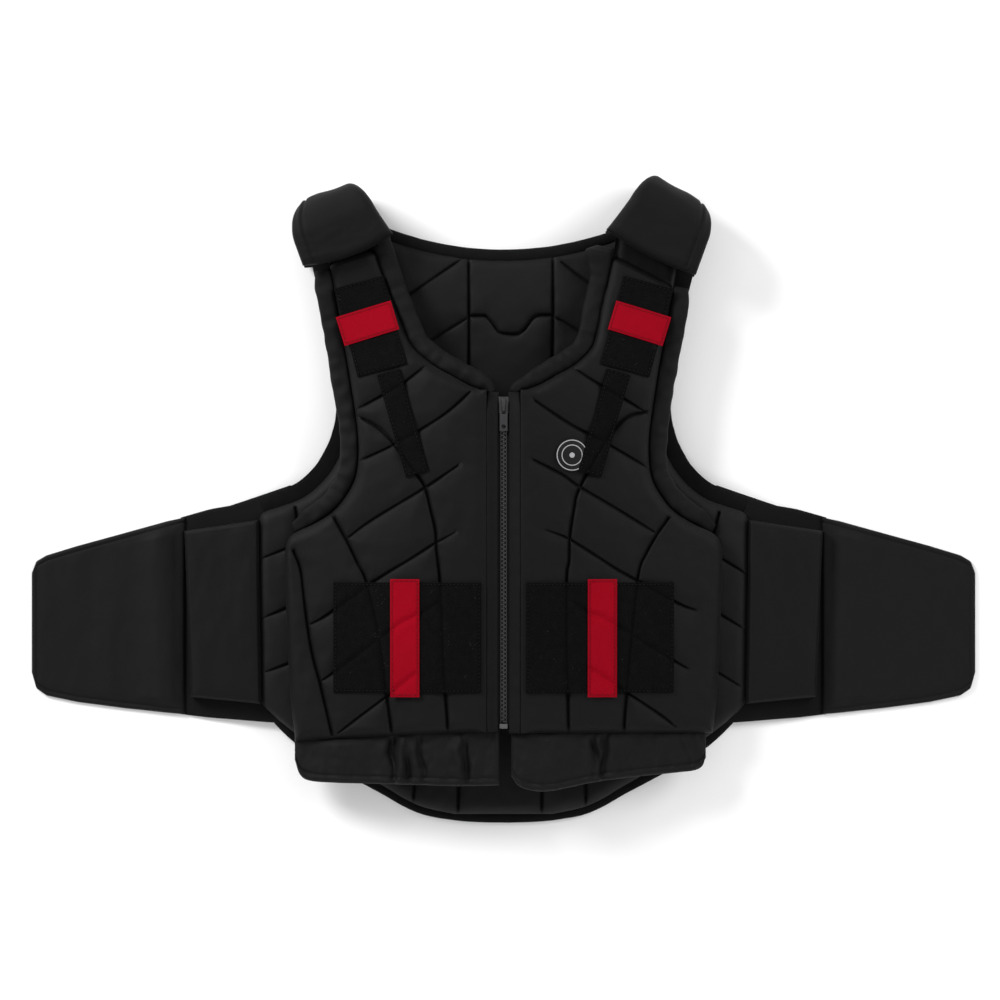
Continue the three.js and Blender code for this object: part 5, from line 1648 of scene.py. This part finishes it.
def zipTapeStrip(side):
    inner, outer = zipSize["chain"] / 2 + zipSize["room"], body["zipEdge"] - body["gap"]
    half = zipSize["tapeHalf"]
    shape = [(inner, -half), (inner, half), (outer, half), (outer, -half)]
    high = zipTopY - zipSize["sliderLength"] - zipSize["tapeToSlider"]
    return carried("zipTapeStrip", straightLine(zipBottomY - zipSize["tapeBelow"], high), shape, zipLevel, seed=7.5)


pairOf(placketStrip, "zip_placket", "placket", cloths["bandCloth"])


def zipTapeSheet(obj, side):
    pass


pairOf(zipTapeStrip, "zip_tape", "zipTape", cloths["trimKnit"], asSheet=zipTapeSheet)


# A moulded tooth: its foot on the tape's edge, a neck, and a round head at the middle.
tooth = {"foot": 1.9 * mm, "footLong": 1.2 * mm, "fromEdge": 0.6 * mm, "rounding": 0.22 * mm,
         "spineWide": 0.75 * mm, "spineHalf": 0.8 * mm}
# Where each step of a tooth ends across the zip, and its width against the last one's.
toothSteps = [(0.9 * mm, 0.58), (0.35 * mm, 1.45), (-0.55 * mm, 1.0), (-1.0 * mm, 0.5)]


def oneTooth():
    root = zipSize["chain"] / 2 - tooth["fromEdge"]
    bpy.ops.object.select_all(action="DESELECT")
    bpy.ops.mesh.primitive_cube_add(size=1, location=(root - tooth["footLong"] / 2, 0, 0),
                                    scale=(tooth["footLong"], tooth["foot"], zipSize["thick"]))
    piece = bpy.context.active_object
    bpy.ops.object.transform_apply(location=True, rotation=True, scale=True)
    bpy.ops.object.mode_set(mode="EDIT")
    bpy.ops.mesh.select_mode(type="FACE")
    bpy.ops.mesh.select_all(action="DESELECT")
    shape = bmesh.from_edit_mesh(piece.data)
    for face in shape.faces:
        face.select_set(face.normal.x < -0.9)
    shape.select_flush_mode()
    bmesh.update_edit_mesh(piece.data)
    at = root - tooth["footLong"]
    for reach, share in toothSteps:
        bpy.ops.mesh.extrude_region_move(TRANSFORM_OT_translate={"value": (reach - at, 0, 0)})
        bpy.ops.transform.resize(value=(1, share, 1), center_override=(reach, 0, 0))
        at = reach
    bpy.ops.object.mode_set(mode="OBJECT")
    rounding = piece.modifiers.new("rounding", "BEVEL")
    rounding.width = tooth["rounding"]
    rounding.segments = 1
    rounding.limit_method = "ANGLE"
    rounding.angle_limit = math.radians(50)
    bpy.ops.object.modifier_apply(modifier="rounding")
    piece.select_set(False)
    return piece


# One side's teeth, half a pitch apart from the other's, on a cord along the tape's edge.
def toothRow(side, pattern):
    start = zipBottomY + zipSize["stopLength"]
    count = int((zipTopY - zipSize["sliderLength"] - start) / zipSize["pitch"]) - 1
    shift = 0 if side == "left" else zipSize["pitch"] / 2
    row = bmesh.new()
    for k in range(count):
        y = start + shift + (k + 0.5) * zipSize["pitch"]
        known = len(row.verts)
        row.from_mesh(pattern.data)
        row.verts.ensure_lookup_table()
        bmesh.ops.translate(row, verts=row.verts[known:], vec=(0, y, float(zipLevel(0, y))))
    outer, half = zipSize["chain"] / 2, tooth["spineHalf"]
    inner = outer - tooth["spineWide"]
    cord = [(inner, -half), (inner, half), (outer, half), (outer, -half)]
    run = straightLine(start, start + (count + 1) * zipSize["pitch"])
    spine = carried("spine", run, cord, zipLevel, step=5 * mm)
    row.from_mesh(spine.data)
    bpy.data.objects.remove(spine)
    mesh = bpy.data.meshes.new(f"zipTeeth_{side}")
    row.to_mesh(mesh)
    row.free()
    obj = bpy.data.objects.new(mesh.name, mesh)
    bpy.context.scene.collection.objects.link(obj)
    faceOut(obj).data.shade_flat()
    if side == "right":
        mirrorMesh(obj)
    return rideAndName(obj, f"zip_teeth_{side}", teethPlastic)


toothPattern = oneTooth()
for side in ("left", "right"):
    toothRow(side, toothPattern)
bpy.data.objects.remove(toothPattern)


# A copy of a hard node with its loose faces joined and its edges rounded.
def finishedCopy(node, name, material, bevel):
    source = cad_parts[node]
    obj = bpy.data.objects.new(name, source.data.copy())
    bpy.context.scene.collection.objects.link(obj)
    obj.data.materials.clear()
    shape = bmesh.new()
    shape.from_mesh(obj.data)
    bmesh.ops.remove_doubles(shape, verts=shape.verts, dist=0.00001)
    bmesh.ops.dissolve_limit(shape, angle_limit=math.radians(2), verts=shape.verts, edges=shape.edges)
    shape.to_mesh(obj.data)
    shape.free()
    rounding = obj.modifiers.new("rounding", "BEVEL")
    rounding.width = bevel
    rounding.segments = 3
    rounding.limit_method = "ANGLE"
    bpy.context.view_layer.objects.active = obj
    obj.select_set(True)
    bpy.ops.object.modifier_apply(modifier="rounding")
    bpy.ops.object.shade_smooth_by_angle(angle=math.radians(35))
    obj.select_set(False)
    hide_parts(node)
    obj.data.materials.append(material)
    return obj


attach(finishedCopy("zip_slider", "zipSlider", gunMetal, 0.45 * mm), "vest")
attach(finishedCopy("zip_stop", "zipStop", stopPlastic, 0.6 * mm), "vest")
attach(finishedCopy("zip_pull", "zipPull", gunMetal, 0.35 * mm), "zip_pull")
print("zip made")

# The badge: a low round disc with a raised rim, partly under the narrow tape.
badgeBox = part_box("badge")
badgeRadius = 15 * mm
badgeCenter = (badgeBox[0][0] + badgeRadius, (badgeBox[0][1] + badgeBox[1][1]) / 2)
badgeRubber = badgeMaterial("badgeRubber", badgeLook, badgeCenter, badgeRadius)
badge = finishedCopy("badge", "badge", badgeRubber, 0.3 * mm)
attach(badge, "vest")
print("badge made")


# Sewing: each stitch is a short raised grain of thread.
stitch = {"pitch": 3.4 * mm, "length": 2.3 * mm, "radius": 0.34 * mm, "sides": 5, "full": 0.28, "lift": 0.1 * mm,
          "intoLoop": 0.15 * mm, "intoRibbon": 0.1 * mm}
stitchRuns = {"black": [], "red": []}  # (two ends of a run, its height above the front)


def stitchLines():
    for kind, size in tapes.items():
        ribbon = kind.endswith("marker")
        thread = "red" if ribbon else "black"
        turn = -math.radians(size["lean"])
        centerX, centerY = size["x"] * mm, float(alongY(size["y"]))
        inset = tapeLook["sewnIn"]
        wide, high = size["width"] * mm / 2 - inset, size["height"] * mm / 2 - inset
        above = tapeLook["seat"] + tapeLook["loopThick"] - stitch["intoLoop"]
        if ribbon:
            above = ribbonSeat + tapeLook["ribbonThick"] - stitch["intoRibbon"]
        spun = []
        for a, b in [(-wide, -high), (wide, -high), (wide, high), (-wide, high), (-wide, -high)]:
            spun.append((centerX + a * math.cos(turn) - b * math.sin(turn),
                         centerY + a * math.sin(turn) + b * math.cos(turn)))
        for sign in (1, -1):
            for a, b in zip(spun[:-1], spun[1:]):
                stitchRuns[thread].append((np.array([(sign * a[0], a[1]), (sign * b[0], b[1])]), above))


def makeStitches(name, runs):
    length, radius, sides = stitch["length"], stitch["radius"], stitch["sides"]

    def onCloth(x, y, above):
        return Vector((x, y, float(frontTop(x, y) + above) + stitch["lift"]))

    points, faces = [], []
    for line, above in runs:
        path = resample(line, stitch["pitch"])[0]
        for (ax, ay), (bx, by) in zip(path[:-1], path[1:]):
            start, end = onCloth(ax, ay, above), onCloth(bx, by, above)
            run = (end - start).normalized()
            middle = (start + end) / 2
            side = run.cross(Vector((0, 0, 1))).normalized()
            up = side.cross(run)
            first = len(points)
            points.append(middle - run * length / 2)
            for place in (-stitch["full"], stitch["full"]):
                for k in range(sides):
                    turn = 2 * math.pi * k / sides
                    outward = math.cos(turn) * side + math.sin(turn) * up
                    points.append(middle + run * place * length + radius * outward)
            points.append(middle + run * length / 2)
            last = first + 1 + 2 * sides
            for k in range(sides):
                a, b = first + 1 + k, first + 1 + (k + 1) % sides
                faces += [(first, b, a), (a, b, b + sides, a + sides), (a + sides, b + sides, last)]
    return faceOut(makeObject(name, [tuple(p) for p in points], faces))


stitchLines()
for thread, runs in stitchRuns.items():
    stitches = makeStitches(f"{thread}Stitching", runs)
    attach(stitches, "vest")
    stitches.data.materials.append(threads[thread])
print("stitches made")

# Floor, light and camera.
studio = {
    "floor": 12,
    "sky": 0.55,
    "pixel": 0.93 * mm,
    "picture": 1000,
    "sensor": 36,
    "middle": (-3.3 * mm, 2.3 * mm),
    "level": 0.02,
    "distance": 4.82,
}
bpy.ops.mesh.primitive_plane_add(size=studio["floor"], location=(0, 0, 0))
floor = bpy.context.active_object
floor.name = "floor"
paper, _, paperShader, _ = startMaterial("paper")
paperShader.inputs["Base Color"].default_value = (0.9, 0.9, 0.9, 1)
paperShader.inputs["Roughness"].default_value = 0.9
floor.data.materials.append(paper)

lights = [
    {"name": "keySoft", "at": (-1.7, 1.35, 1.3), "size": 0.9, "power": 62},
    {"name": "sideSoft", "at": (1.8, 0.9, 1.35), "size": 1.1, "power": 28},
    {"name": "lowSoft", "at": (0.3, -2.1, 1.3), "size": 1.3, "power": 18},
]
for spec in lights:
    bpy.ops.object.light_add(type="AREA", location=spec["at"])
    lamp = bpy.context.active_object
    lamp.name = spec["name"]
    lamp.data.size = spec["size"]
    lamp.data.energy = spec["power"]
    lamp.rotation_euler = (-Vector(spec["at"])).to_track_quat("-Z", "Y").to_euler()

world = bpy.data.worlds.new("studioWorld")
world.use_nodes = True
sky = world.node_tree.nodes["Background"]
sky.inputs["Color"].default_value = (1, 1, 1, 1)
sky.inputs["Strength"].default_value = studio["sky"]
bpy.context.scene.world = world

cameraData = bpy.data.cameras.new("above")
camera = bpy.data.objects.new("above", cameraData)
bpy.context.scene.collection.objects.link(camera)
camera.location = (*studio["middle"], studio["level"] + studio["distance"])
cameraData.sensor_width = studio["sensor"]
cameraData.lens = studio["sensor"] * studio["distance"] / (studio["picture"] * studio["pixel"])
cameraData.clip_end = 50
bpy.context.scene.camera = camera
bpy.context.scene.view_settings.view_transform = "Standard"
